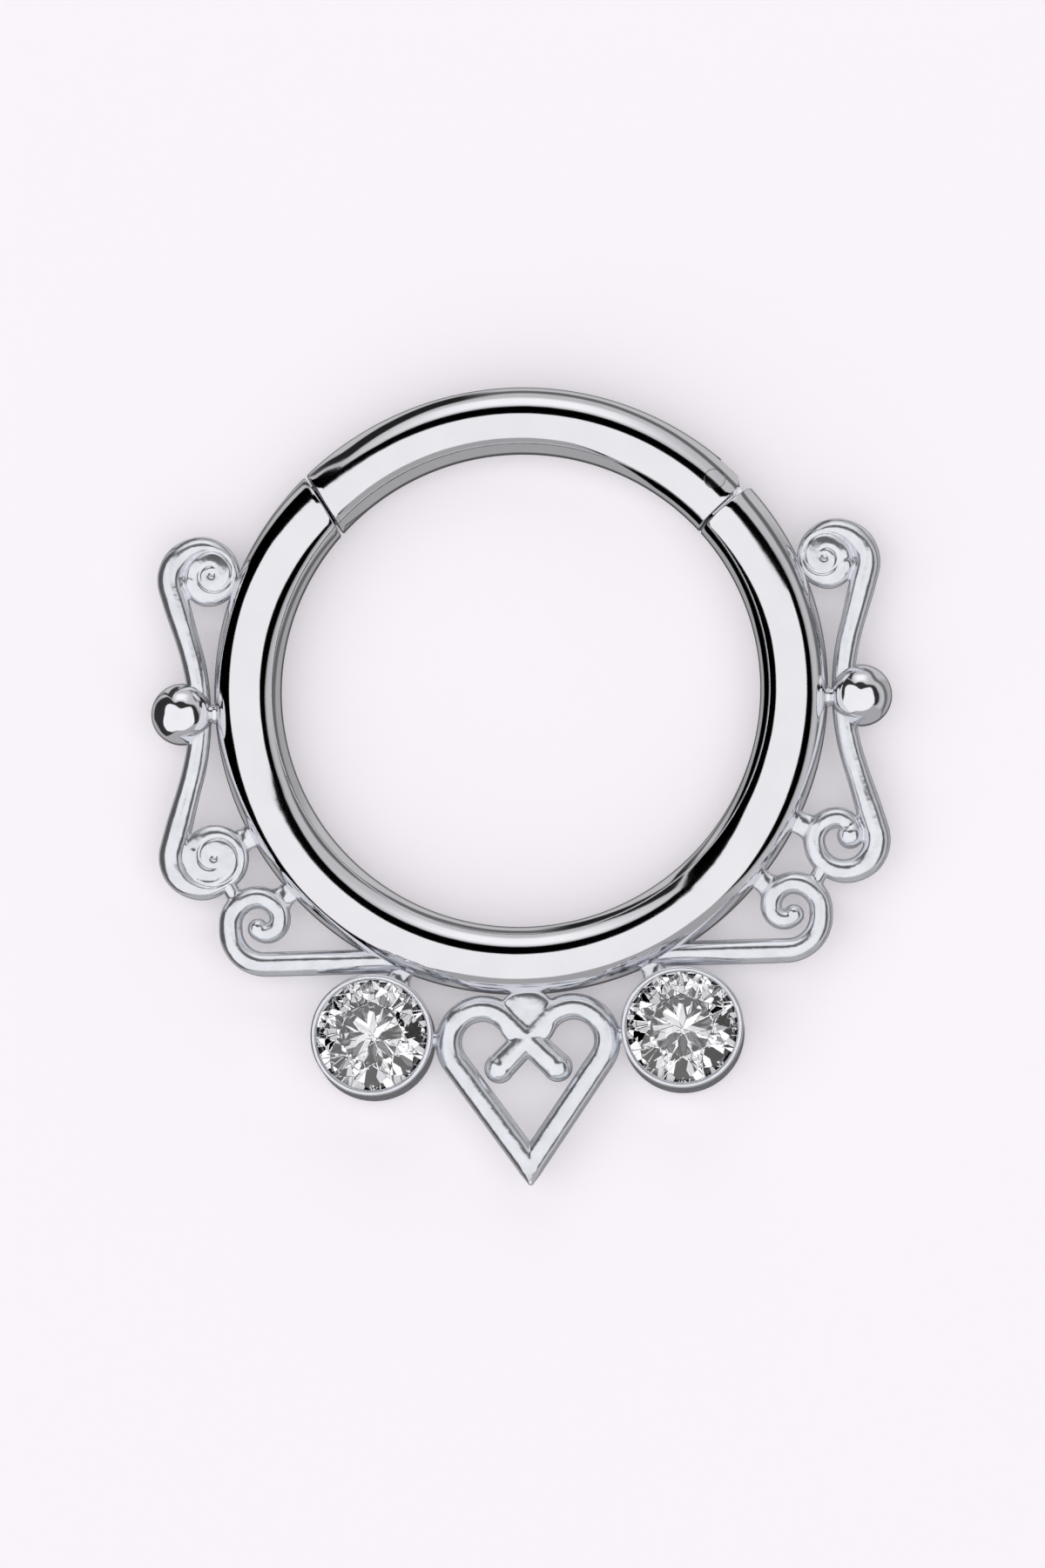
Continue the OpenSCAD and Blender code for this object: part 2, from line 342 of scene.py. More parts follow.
@dataclass(frozen=True)
class ClearStone:
    """A clear cut stone.

    Attributes:
        name: The material's name.
        colour: Its faint body colour.
        cloud: Its colour along the polish lines.
        refraction: Its index of refraction.
        line: Size of the polish lines, in millimetres.
        line_depth: How deep they are.
        line_strength: How much of them shows.
    """

    name: str = "clear_stone"
    colour: Colour = (0.97, 0.98, 1.0)
    cloud: Colour = (0.93, 0.94, 0.97)
    refraction: float = 2.15
    line: float = 0.08
    line_depth: float = 0.00004
    line_strength: float = 0.3

    def material(self) -> bpy.types.Material:
        """Builds the finish.

        Returns:
            A refracting material.
        """
        made = bpy.data.materials.new(self.name)
        made.use_nodes = True
        kit = NodeKit(made.node_tree)
        place = kit.term("ShaderNodeTexCoord", output="Object")
        lines = kit.noise(place, 1.0 / (self.line * MM), 1.0)
        shader = kit.node("ShaderNodeBsdfPrincipled", None, {
            "Base Color": kit.mixed(lines, self.cloud, self.colour),
            "Roughness": 0.0,
            "IOR": self.refraction,
            "Transmission Weight": 1.0,
            "Normal": kit.bump(lines, self.line_depth, self.line_strength),
        })
        kit.node("ShaderNodeOutputMaterial", None, {"Surface": shader.outputs[0]})
        return made


@dataclass(frozen=True)
class Finishes:
    """The ring's materials, each made once.

    Attributes:
        band: The mirror polish of the band.
        bead: The polish of the beads.
        cast: The satin skin of the castings.
        pin: The pin's ends, polished flush.
        stone: The clear stones.
    """

    band: bpy.types.Material
    bead: bpy.types.Material
    cast: bpy.types.Material
    pin: bpy.types.Material
    stone: bpy.types.Material

    @classmethod
    def made(cls) -> "Finishes":
        """Makes them all.

        Returns:
            The ring's materials.
        """
        band = Steel(
            "band_polish", colour=(0.80, 0.80, 0.82), shade=(0.75, 0.75, 0.78),
            rough=0.06, rough_spread=0.04, mark=0.03, mark_depth=0.00015, wave=0.8, wave_depth=0.003)
        bead = Steel(
            "bead_polish", colour=(0.84, 0.85, 0.88), shade=(0.78, 0.79, 0.82),
            rough=0.07, rough_spread=0.04, mark=0.03, mark_depth=0.00015, wave=0.4, wave_depth=0.004,
            metal=0.95)
        cast = Steel(
            "cast_satin", colour=(0.84, 0.86, 0.90), shade=(0.70, 0.72, 0.76),
            rough=0.17, rough_spread=0.1, mark=0.05, mark_depth=0.0005, wave=0.3, wave_depth=0.009,
            metal=0.84)
        pin = Steel(
            "pin_polish", colour=(0.78, 0.78, 0.80), shade=(0.72, 0.72, 0.75),
            rough=0.1, rough_spread=0.04, mark=0.03, mark_depth=0.0003, wave=0.3, wave_depth=0.001)
        metals = (steel.material() for steel in (band, bead, cast, pin))
        return cls(*metals, ClearStone().material())


@dataclass(frozen=True)
class Bend:
    """One stretch of a bent wire.

    Attributes:
        radius: Bend radius, positive to the left, negative to the right and 0 for straight.
        run: Angle of the bend in degrees, or length of a straight stretch.
    """

    radius: float
    run: float

    @property
    def length(self) -> float:
        """Length along the wire's middle."""
        return self.run if self.radius == 0 else abs(self.radius) * math.radians(self.run)


@dataclass(frozen=True)
class PathPoint:
    """A place on a wire's middle line.

    Attributes:
        x: Where it is along X.
        y: Where it is along Y.
        r: The wire's radius there.
    """

    x: float
    y: float
    r: float


@dataclass(frozen=True)
class WirePath:
    """A wire bent in the ring's plane.

    Attributes:
        start: Where the middle line starts.
        heading: Its first direction, in degrees.
        bends: Its stretches, one after another.
        taper: Pairs of share of the length and wire radius, between which the radius eases.
        ball: Radius of the rounded end.
        step: Distance between the points of the path.
    """

    start: Point
    heading: float
    bends: tuple[Bend, ...]
    taper: tuple[Pair, ...]
    ball: float
    step: float = 0.04

    LEAST_STEPS = 8
    BALL_STEPS = 8
    POLE_SHARE = 0.01

    @property
    def length(self) -> float:
        """Length of the middle line up to the middle of the end's ball."""
        return sum(bend.length for bend in self.bends)

    def place(self, along: float) -> Point:
        """Finds a point of the middle line.

        Args:
            along: Its distance along the line, which runs straight on past its end.

        Returns:
            The point.
        """
        at = Vector(self.start)
        heading = math.radians(self.heading)
        for bend in self.bends:
            ahead = Vector((math.cos(heading), math.sin(heading)))
            part = min(along, bend.length)
            if bend.radius == 0:
                at = at + ahead * part
            else:
                turn = part / bend.radius
                centre = at + Vector((-ahead.y, ahead.x)) * bend.radius
                at = centre + Matrix.Rotation(turn, 2) @ (at - centre)
                heading += turn
            along -= part
            if along <= 0:
                return at.x, at.y
        end = at + Vector((math.cos(heading), math.sin(heading))) * along
        return end.x, end.y

    def radius(self, along: float) -> float:
        """Finds how thick the wire is.

        Args:
            along: A distance along its middle line.

        Returns:
            Its radius there, with the ball at its end.
        """
        past = along - self.length
        ball = math.sqrt(max(self.ball ** 2 - past ** 2, 0.0))
        if past >= 0:
            return max(ball, self.POLE_SHARE * self.ball)
        share = along / self.length
        wire = self.taper[-1][1]
        for (low, first), (high, last) in zip(self.taper, self.taper[1:]):
            if low <= share <= high:
                ease = 0.5 - 0.5 * math.cos(math.pi * (share - low) / (high - low))
                wire = first + (last - first) * ease
                break
        return max(wire, ball)

    def points(self) -> list[PathPoint]:
        """Sets out the wire.

        Returns:
            Points along it, closer together over the rounded end.
        """
        count = max(int(self.length / self.step), self.LEAST_STEPS)
        stations = [self.length * i / count for i in range(count + 1)]
        for i in range(1, self.BALL_STEPS + 1):
            stations.append(self.length + self.ball * math.sin(math.pi / 2 * i / self.BALL_STEPS))
        return [PathPoint(*self.place(along), self.radius(along)) for along in stations]


@dataclass(frozen=True)
class RingSizes:
    """The ring's driving sizes in millimetres and degrees, as in the part's source.

    Attributes:
        wire_d: Diameter of the band wire.
        inside_d: Clear diameter inside the closed ring.
        hinge_angle: Where the segment starts at the hinge, from X round the ring.
        latch_angle: Where it ends at the latch.
        latch_lean: How far the latch seam leans off the ring's radius.
        seam: Width of the seams.
        nub_h: How far the nub stands out of the segment's end.
        nub_d: The nub's width.
        knuckle_r: Radius of the hinge's round end.
        tongue_t: Thickness of the hinge's tongue.
        tongue_gap: Gap over and under it.
        pin_d: Diameter of the pin.
        edge_round: How far the edges of the wire's ends are broken.
    """

    wire_d: float = 1.2
    inside_d: float = 8.5
    hinge_angle: float = 40.6
    latch_angle: float = 135.2
    latch_lean: float = 14.0
    seam: float = 0.05
    nub_h: float = 0.25
    nub_d: float = 0.84
    knuckle_r: float = 0.42
    tongue_t: float = 0.4
    tongue_gap: float = 0.03
    pin_d: float = 0.36
    edge_round: float = 0.035

    @property
    def wire_r(self) -> float:
        """Radius of the band wire."""
        return self.wire_d / 2

    @property
    def band_r(self) -> float:
        """Radius of the band at the middle of its wire."""
        return self.inside_d / 2 + self.wire_r

    @property
    def edge_r(self) -> float:
        """Outside radius of the band."""
        return self.band_r + self.wire_r

    @property
    def mid_z(self) -> float:
        """Height of the middle of every wire over the surface that the ring lies on."""
        return self.wire_r

    @staticmethod
    def spot(radius: float, angle: float) -> Point:
        """Finds a point in the ring's plane.

        Args:
            radius: Its distance from the ring's middle.
            angle: Its angle from X, in degrees.

        Returns:
            The point.
        """
        turn = math.radians(angle)
        return radius * math.cos(turn), radius * math.sin(turn)

    def polar(self, radius: float, angle: float) -> Vector:
        """The same point at the wire's height."""
        return Vector((*self.spot(radius, angle), self.mid_z))

    @property
    def pin(self) -> Vector:
        """The middle of the hinge pin."""
        along = self.polar(self.knuckle_r, self.hinge_angle + 90)
        return self.polar(self.edge_r - self.knuckle_r, self.hinge_angle) + Vector((along.x, along.y, 0))

    @property
    def latch(self) -> Vector:
        """The middle of the latch seam."""
        return self.polar(self.band_r, self.latch_angle)

    @property
    def latch_normal(self) -> float:
        """Direction across the latch seam, towards the segment, in degrees."""
        return self.latch_angle - self.latch_lean - 90

    @property
    def nub_ball_r(self) -> float:
        """Radius of the ball that the nub is a cap of."""
        return ((self.nub_d / 2) ** 2 + self.nub_h ** 2) / (2 * self.nub_h)

    @property
    def nub_sink(self) -> float:
        """Distance from the seam's middle back to the middle of that ball."""
        return self.seam / 2 + self.nub_ball_r - self.nub_h


class WireTree:
    """A Geometry Nodes tree that gives a path its round wire."""

    GEOMETRY = "Path"
    SIDES = "Sides"
    FLATTEN = "Section height"
    FINISH = "Finish"
    RADIUS = "wire_radius"

    def __init__(self) -> None:
        """Builds the tree."""
        self.tree = bpy.data.node_groups.new("wire_along_path", "GeometryNodeTree")
        face = self.tree.interface
        face.new_socket(self.GEOMETRY, in_out="INPUT", socket_type="NodeSocketGeometry")
        face.new_socket(self.SIDES, in_out="INPUT", socket_type="NodeSocketInt")
        face.new_socket(self.FLATTEN, in_out="INPUT", socket_type="NodeSocketFloat")
        face.new_socket(self.FINISH, in_out="INPUT", socket_type="NodeSocketMaterial")
        face.new_socket("Wire", in_out="OUTPUT", socket_type="NodeSocketGeometry")
        kit = NodeKit(self.tree)
        given = kit.node("NodeGroupInput")
        line = kit.node("GeometryNodeMeshToCurve", None, {"Mesh": given.outputs[self.GEOMETRY]})
        upright = kit.node("GeometryNodeSetCurveNormal", {"mode": "Z_UP"}, {"Curve": line.outputs[0]})
        width = kit.node("GeometryNodeInputNamedAttribute", {"data_type": "FLOAT"}, {"Name": self.RADIUS})
        circle = kit.node("GeometryNodeCurvePrimitiveCircle", {"mode": "RADIUS"},
                          {"Resolution": given.outputs[self.SIDES], "Radius": 1.0})
        flat = kit.node("ShaderNodeCombineXYZ", None, {"X": 1.0, "Y": given.outputs[self.FLATTEN], "Z": 1.0})
        section = kit.node("GeometryNodeTransform", None,
                           {"Geometry": circle.outputs[0], "Scale": flat.outputs[0]})
        wire = kit.node("GeometryNodeCurveToMesh", None,
                        {"Curve": upright.outputs[0], "Profile Curve": section.outputs[0],
                         "Scale": width.outputs[0], "Fill Caps": True})
        smooth = kit.node("GeometryNodeSetShadeSmooth", None, {"Geometry": wire.outputs[0]})
        real = kit.node("GeometryNodeRealizeInstances", None, {"Geometry": smooth.outputs[0]})
        dressed = kit.node("GeometryNodeSetMaterial", None,
                           {"Geometry": real.outputs[0], "Material": given.outputs[self.FINISH]})
        kit.node("NodeGroupOutput", None, {0: dressed.outputs[0]})

    def build(self, points: Sequence[PathPoint], height: float, sides: int,
              finish: bpy.types.Material, flatten: float = 1.0) -> bpy.types.Mesh:
        """Makes one wire.

        Args:
            points: The path with the wire's radius at each point.
            height: Height of the path.
            sides: Number of sides of the wire's section.
            finish: The wire's material.
            flatten: The section's height as a share of its width.

        Returns:
            A closed mesh in millimetres.
        """
        path = bpy.data.meshes.new("path")
        corners = [(p.x, p.y, height) for p in points]
        path.from_pydata(corners, [(i, i + 1) for i in range(len(corners) - 1)], [])
        widths = path.attributes.new(self.RADIUS, "FLOAT", "POINT")
        widths.data.foreach_set("value", [p.r for p in points])
        holder = Workshop.link("path", path)
        modifier = holder.modifiers.new("wire", "NODES")
        modifier.node_group = self.tree
        values = {self.SIDES: sides, self.FLATTEN: flatten, self.FINISH: finish}
        for socket in self.tree.interface.items_tree:
            if socket.name in values and socket.in_out == "INPUT":
                modifier[socket.identifier] = values[socket.name]
        return Workshop.evaluated(holder)


class Workshop:
    """Mesh operations that the pieces share. All of them work in millimetres."""

    # Half the length of a rod that passes right through the band wire
    THROUGH = 1.0
    # Points that a cut leaves closer together than this are one point
    SLIVER = 0.0001

    @staticmethod
    def link(name: str, mesh: bpy.types.Mesh) -> bpy.types.Object:
        """Puts a mesh into the scene as an object.

        Args:
            name: The object's name.
            mesh: The mesh.

        Returns:
            The object.
        """
        made = bpy.data.objects.new(name, mesh)
        bpy.context.scene.collection.objects.link(made)
        return made

    @staticmethod
    def evaluated(holder: bpy.types.Object) -> bpy.types.Mesh:
        """Applies an object's modifiers.

        Args:
            holder: The object, which is removed with the mesh that it had.

        Returns:
            The new mesh.
        """
        bpy.context.view_layer.update()
        graph = bpy.context.evaluated_depsgraph_get()
        mesh = bpy.data.meshes.new_from_object(holder.evaluated_get(graph), depsgraph=graph)
        before = holder.data
        bpy.data.objects.remove(holder)
        bpy.data.meshes.remove(before)
        return mesh

    @staticmethod
    def baked(name: str, shape: bmesh.types.BMesh) -> bpy.types.Mesh:
        """Turns a shape that was worked on into a mesh.

        Args:
            name: The mesh's name.
            shape: The shape, which is freed.

        Returns:
            The mesh.
        """
        made = bpy.data.meshes.new(name)
        shape.to_mesh(made)
        shape.free()
        return made

    @staticmethod
    def joined(meshes: Iterable[bpy.types.Mesh]) -> bpy.types.Mesh:
        """Puts several meshes into one.

        Args:
            meshes: The meshes, which may overlap.

        Returns:
            One mesh that holds them all.
        """
        shape = bmesh.new()
        for mesh in meshes:
            shape.from_mesh(mesh)
        return Workshop.baked("joined", shape)

    @staticmethod
    def combined(mesh: bpy.types.Mesh, other: bpy.types.Mesh, operation: str) -> bpy.types.Mesh:
        """Cuts, joins or intersects two closed meshes.

        Args:
            mesh: The mesh that is worked on.
            other: The mesh that it is worked with.
            operation: DIFFERENCE, UNION or INTERSECT.

        Returns:
            The result.
        """
        holder = Workshop.link("work", mesh)
        tool = Workshop.link("tool", other)
        modifier = holder.modifiers.new("cut", "BOOLEAN")
        modifier.operation = operation
        modifier.solver = "MANIFOLD"
        modifier.object = tool
        made = Workshop.evaluated(holder)
        bpy.data.objects.remove(tool)
        return made

    @staticmethod
    def fused(mesh: bpy.types.Mesh, grain: float, rounds: int) -> bpy.types.Mesh:
        """Melts overlapping shells into one skin with soft corners, as a casting has.

        Args:
            mesh: The overlapping closed shells.
            grain: Size of the new faces.
            rounds: How many times the skin is smoothed.

        Returns:
            The new skin.
        """
        holder = Workshop.link("work", mesh)
        remesh = holder.modifiers.new("melt", "REMESH")
        remesh.mode = "VOXEL"
        remesh.voxel_size = grain
        remesh.use_smooth_shade = True
        smooth = holder.modifiers.new("soften", "SMOOTH")
        smooth.factor = 0.5
        smooth.iterations = rounds
        return Workshop.evaluated(holder)

    @staticmethod
    def turned(profile: Sequence[Point], centre: Vector, sides: int) -> bpy.types.Mesh:
        """Turns a closed outline about an upright axis.

        Args:
            profile: Corners of the outline, as distance from the axis and height.
            centre: Where the axis stands.
            sides: Number of steps round the axis.

        Returns:
            A closed mesh.
        """
        shape = bmesh.new()
        rings = []
        for radius, height in profile:
            if radius == 0:
                rings.append([shape.verts.new((centre.x, centre.y, height))] * sides)
                continue
            ring = []
            for i in range(sides):
                turn = 2 * math.pi * i / sides
                x, y = centre.x + radius * math.cos(turn), centre.y + radius * math.sin(turn)
                ring.append(shape.verts.new((x, y, height)))
            rings.append(ring)
        for low, high in zip(rings, rings[1:] + rings[:1]):
            for i in range(sides):
                j = (i + 1) % sides
                corners = list(dict.fromkeys([low[i], low[j], high[j], high[i]]))
                if len(corners) > 2:
                    shape.faces.new(corners).smooth = True
        bmesh.ops.recalc_face_normals(shape, faces=shape.faces)
        return Workshop.baked("turned", shape)

    @staticmethod
    def block(low: Sequence[float], high: Sequence[float], place: Matrix) -> bpy.types.Mesh:
        """Makes a box.

        Args:
            low: Its lowest corner, before it is moved.
            high: Its highest corner.
            place: The matrix that moves it.

        Returns:
            A closed mesh.
        """
        shape = bmesh.new()
        bmesh.ops.create_cube(shape, size=1.0)
        middle = [(a + b) / 2 for a, b in zip(low, high)]
        size = [b - a for a, b in zip(low, high)]
        shape.transform(place @ Matrix.Translation(middle) @ Matrix.Diagonal((*size, 1)))
        return Workshop.baked("block", shape)

    @staticmethod
    def rod(radius: float, half: float, place: Matrix, sides: int = 96) -> bpy.types.Mesh:
        """Makes a round rod.

        Args:
            radius: Its radius.
            half: Half its length, up and down from its middle before it is moved.
            place: The matrix that moves it.
            sides: Number of its sides.

        Returns:
            A closed mesh.
        """
        outline = ((0, -half), (radius, -half), (radius, half), (0, half))
        made = Workshop.turned(outline, Vector((0, 0, 0)), sides)
        made.transform(place)
        return made

    @staticmethod
    def ball(radius: float, place: Matrix, detail: int) -> bpy.types.Mesh:
        """Makes a round ball.

        Args:
            radius: Its radius.
            place: The matrix that moves it.
            detail: Number of its rows of faces.

        Returns:
            A closed mesh.
        """
        shape = bmesh.new()
        bmesh.ops.create_uvsphere(shape, u_segments=2 * detail, v_segments=detail, radius=radius)
        for face in shape.faces:
            face.smooth = True
        shape.transform(place)
        return Workshop.baked("ball", shape)

    @staticmethod
    def creased(mesh: bpy.types.Mesh, angle: float = 32.0) -> None:
        """Merges slivers and shades a mesh smooth but for its sharp edges.

        Args:
            mesh: The mesh, which is changed.
            angle: An edge that turns by more than this stays sharp, in degrees.
        """
        shape = bmesh.new()
        shape.from_mesh(mesh)
        bmesh.ops.remove_doubles(shape, verts=shape.verts, dist=Workshop.SLIVER)
        limit = math.radians(angle)
        for edge in shape.edges:
            edge.smooth = len(edge.link_faces) == 2 and edge.calc_face_angle() < limit
        for face in shape.faces:
            face.smooth = True
        shape.to_mesh(mesh)
        shape.free()

    @staticmethod
    def finished(name: str, mesh: bpy.types.Mesh, body: Body, slot: Slot,
                 finish: bpy.types.Material) -> bpy.types.Object:
        """Turns a mesh in millimetres into a piece of the ring.

        Args:
            name: The piece's name.
            mesh: Its shape.
            body: The body that it rides on.
            slot: The material slot that it is for; not used.
            finish: Its material.

        Returns:
            The piece, in metres, with its place in its mesh.
        """
        mesh.transform(Matrix.Diagonal((MM, MM, MM, 1)))
        mesh.materials.clear()
        mesh.materials.append(finish)
        mesh.name = name
        piece = Workshop.link(name, mesh)
        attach(piece, body.value)
        count = sum(len(face.vertices) - 2 for face in mesh.polygons)
        LOG.info("%s: %d triangles", name, count)
        return piece


@dataclass(frozen=True)
class BandWire:
    """The plain round wire of the band, drawn along an arc, with its end edges softly broken.

    Attributes:
        sizes: The ring's sizes.
        tree: The tree that draws wires.
        finish: The band's material.
        sides: Number of sides of the wire.
        step: Angle between its rings of points, in degrees.
        edge_steps: Number of steps in a broken edge.
        lean_reach: Over what angle the wire follows the lean of the latch seam.
        below_hinge: Angle that near_hinge takes in on the fixed side.
        above_hinge: Angle that it takes in on the segment's side.
    """

    sizes: RingSizes
    tree: WireTree
    finish: bpy.types.Material
    sides: int = 96
    step: float = 0.9
    edge_steps: int = 5
    lean_reach: float = 14.0
    below_hinge: float = 8.0
    above_hinge: float = 16.0

    LEAST_STEPS = 4
    NUB_ROWS = 36

    def arc(self, first: float, last: float, inset: float = 0.0) -> bpy.types.Mesh:
        """Draws the wire from one angle to another.

        Args:
            first: Where it starts, in degrees.
            last: Where it ends, in degrees.
            inset: How much thinner than the band it is, on each side.

        Returns:
            A closed mesh.
        """
        sizes = self.sizes
        edge = sizes.edge_round
        full = sizes.wire_r - inset
        per_mm = math.degrees(1.0 / sizes.band_r)
        ends = []
        for i in range(self.edge_steps):
            turn = math.pi / 2 * i / self.edge_steps
            ends.append((edge * (1 - math.cos(turn)) * per_mm, full - edge + edge * math.sin(turn)))
        inner = edge * per_mm
        count = max(int((last - first) / self.step), self.LEAST_STEPS)
        stations = [(first + along, radius) for along, radius in ends]
        for i in range(count + 1):
            stations.append((first + inner + (last - first - 2 * inner) * i / count, full))
        stations += [(last - along, radius) for along, radius in reversed(ends)]
        points = []
        for angle, radius in stations:
            at = sizes.polar(sizes.band_r, angle)
            points.append(PathPoint(at.x, at.y, radius))
        return self.tree.build(points, sizes.mid_z, self.sides, self.finish)

    def near_hinge(self, inset: float = 0.0) -> bpy.types.Mesh:
        """The round wire on both sides of the hinge, to which the tongue and the pin are trimmed."""
        angle = self.sizes.hinge_angle
        return self.arc(angle - self.below_hinge, angle + self.above_hinge, inset)

    def lean(self, mesh: bpy.types.Mesh, offset: float) -> None:
        """Leans the end at the latch over to the plane of the latch seam.

        Args:
            mesh: A wire with an end at the latch.
            offset: How far towards the segment its end face stands from the seam's middle.
        """
        sizes = self.sizes
        normal = math.radians(sizes.latch_normal)
        reach = sizes.latch.x * math.cos(normal) + sizes.latch.y * math.sin(normal) + offset
        for vertex in mesh.vertices:
            x, y = vertex.co.x, vertex.co.y
            angle = math.degrees(math.atan2(y, x)) % 360
            share = max(1.0 - abs(angle - sizes.latch_angle) / self.lean_reach, 0.0)
            if share == 0:
                continue
            face = math.degrees(normal + math.acos(reach / math.hypot(x, y)))
            turn = math.radians((face - sizes.latch_angle) * share * share * (3 - 2 * share))
            vertex.co.x = x * math.cos(turn) - y * math.sin(turn)
            vertex.co.y = x * math.sin(turn) + y * math.cos(turn)

    def at_hinge(self) -> Matrix:
        """The hinge's frame: X along the band towards the ring, Y outwards."""
        turn = Matrix.Rotation(math.radians(self.sizes.hinge_angle - 90), 4, "Z")
        return Matrix.Translation(self.sizes.pin) @ turn

    def at_latch(self) -> Matrix:
        """The latch face's frame: X across the seam towards the segment."""
        turn = Matrix.Rotation(math.radians(self.sizes.latch_normal), 4, "Z")
        return Matrix.Translation(self.sizes.latch) @ turn

    def nub(self, play: float, place: Matrix) -> bpy.types.Mesh:
        """Makes the ball that the latch's nub or socket is a part of.

        Args:
            play: How much larger than the nub it is.
            place: The latch face's frame, or that frame turned about the hinge.

        Returns:
            A closed mesh.
        """
        sink = Matrix.Translation((self.sizes.nub_sink, 0, 0))
        return Workshop.ball(self.sizes.nub_ball_r + play, place @ sink, self.NUB_ROWS)


@dataclass(frozen=True)
class RingBand:
    """The fixed part of the band, with the hinge's tongue and the latch's socket.

    Attributes:
        wire: The band's wire.
        root: How far the tongue is rooted in the band.
        neck_rise: How far its neck rises over the pin, as a share of the knuckle, clear of the open segment.
        tongue_inset: How far its edge stays inside the wire's outline.
        tongue_play: Gap between the tongue and the pin.
        socket_play: Gap between the socket and the nub.
        socket_turns: Angles of the hinge at which the socket is cut, so that the nub can swing out.
    """

    wire: BandWire
    root: float = 0.35
    neck_rise: float = 0.6
    tongue_inset: float = 0.02
    tongue_play: float = 0.02
    socket_play: float = 0.045
    socket_turns: tuple[int, ...] = (0, 2, 4)

    def tongue(self) -> bpy.types.Mesh:
        """Makes the flat tongue with its round end.

        Returns:
            A closed mesh, bored for the pin and trimmed to the wire.
        """
        sizes = self.wire.sizes
        place = self.wire.at_hinge()
        half = sizes.tongue_t / 2
        knuckle = sizes.knuckle_r
        high = (knuckle + self.root, self.neck_rise * knuckle, half)
        neck = Workshop.block((0, -knuckle, -half), high, place)
        shape = Workshop.combined(Workshop.rod(knuckle, half, place), neck, "UNION")
        bore = Workshop.rod(sizes.pin_d / 2 + self.tongue_play, Workshop.THROUGH, place)
        shape = Workshop.combined(shape, bore, "DIFFERENCE")
        return Workshop.combined(shape, self.wire.near_hinge(self.tongue_inset), "INTERSECT")

    def mesh(self) -> bpy.types.Mesh:
        """Makes the band with its tongue and its socket.

        Returns:
            A closed mesh.
        """
        sizes = self.wire.sizes
        last = 360 + sizes.hinge_angle - math.degrees(sizes.seam / sizes.band_r)
        band = self.wire.arc(sizes.latch_angle, last)
        self.wire.lean(band, -sizes.seam / 2)
        about = Matrix.Translation(sizes.pin)
        for turn in self.socket_turns:
            back = about @ Matrix.Rotation(math.radians(-turn), 4, "Z") @ about.inverted()
            hollow = self.wire.nub(self.socket_play, back @ self.wire.at_latch())
            band = Workshop.combined(band, hollow, "DIFFERENCE")
        band = Workshop.combined(band, self.tongue(), "UNION")
        Workshop.creased(band)
        return band

    def piece(self, finishes: Finishes) -> bpy.types.Object:
        """Makes the band and dresses it.

        Args:
            finishes: The ring's materials.

        Returns:
            The finished piece.
        """
        made = Workshop.finished("ring_band", self.mesh(), Body.FRAME, Slot.BAND, finishes.band)
        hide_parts("ring_frame")
        return made


@dataclass(frozen=True)
class HingedSegment:
    """The stretch of the band that swings out, with a fork at the hinge and a rounded nub.

    Attributes:
        wire: The band's wire.
        slot_play: Gap between the tongue's round end and the slot.
        bore_play: Gap between the pin and the fork.
    """

    wire: BandWire
    slot_play: float = 0.04
    bore_play: float = 0.01

    def hinge_cut(self) -> list[bpy.types.Mesh]:
        """Makes what is cut away for the hinge.

        Returns:
            The outer corner, the slot and the pin's bore.
        """
        sizes = self.wire.sizes
        place = self.wire.at_hinge()
        through = Workshop.THROUGH
        reach = 2 * through
        corner = Workshop.block((0, 0, -through), (reach, reach, through), place)
        corner = Workshop.combined(corner, Workshop.rod(sizes.knuckle_r, reach, place), "DIFFERENCE")
        half = sizes.tongue_t / 2 + sizes.tongue_gap
        slot_r = sizes.knuckle_r + self.slot_play
        mouth = Workshop.block((0, -slot_r, -half), (reach, reach, half), place)
        slot = Workshop.combined(Workshop.rod(slot_r, half, place), mouth, "UNION")
        bore = Workshop.rod(sizes.pin_d / 2 + self.bore_play, reach, place)
        return [corner, slot, bore]

    def mesh(self) -> bpy.types.Mesh:
        """Makes the segment with its fork and its nub.

        Returns:
            A closed mesh.
        """
        sizes = self.wire.sizes
        shape = self.wire.arc(sizes.hinge_angle, sizes.latch_angle)
        self.wire.lean(shape, sizes.seam / 2)
        for cut in self.hinge_cut():
            shape = Workshop.combined(shape, cut, "DIFFERENCE")
        shape = Workshop.combined(shape, self.wire.nub(0.0, self.wire.at_latch()), "UNION")
        Workshop.creased(shape)
        return shape

    def piece(self, finishes: Finishes) -> bpy.types.Object:
        """Makes the segment and dresses it.

        Args:
            finishes: The ring's materials.

        Returns:
            The finished piece.
        """
        made = Workshop.finished("swinging_segment", self.mesh(), Body.SEGMENT, Slot.BAND, finishes.band)
        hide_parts("hinged_segment")
        return made


@dataclass(frozen=True)
class HingePin:
    """The pin that the segment turns on, cut flush with the wire and polished over.

    Attributes:
        wire: The band's wire.
        sides: Number of the pin's sides.
    """

    wire: BandWire
    sides: int = 48

    def mesh(self) -> bpy.types.Mesh:
        """Makes the pin.

        Returns:
            A closed mesh, whose ends follow the round wire.
        """
        rod = Workshop.rod(self.wire.sizes.pin_d / 2, Workshop.THROUGH, self.wire.at_hinge(), self.sides)
        shape = Workshop.combined(rod, self.wire.near_hinge(), "INTERSECT")
        Workshop.creased(shape)
        return shape

    def piece(self, finishes: Finishes) -> bpy.types.Object:
        """Makes the pin and dresses it.

        Args:
            finishes: The ring's materials.

        Returns:
            The finished piece.
        """
        made = Workshop.finished("flush_pin", self.mesh(), Body.SEGMENT, Slot.PIN, finishes.pin)
        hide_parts("hinge_pin")
        return made


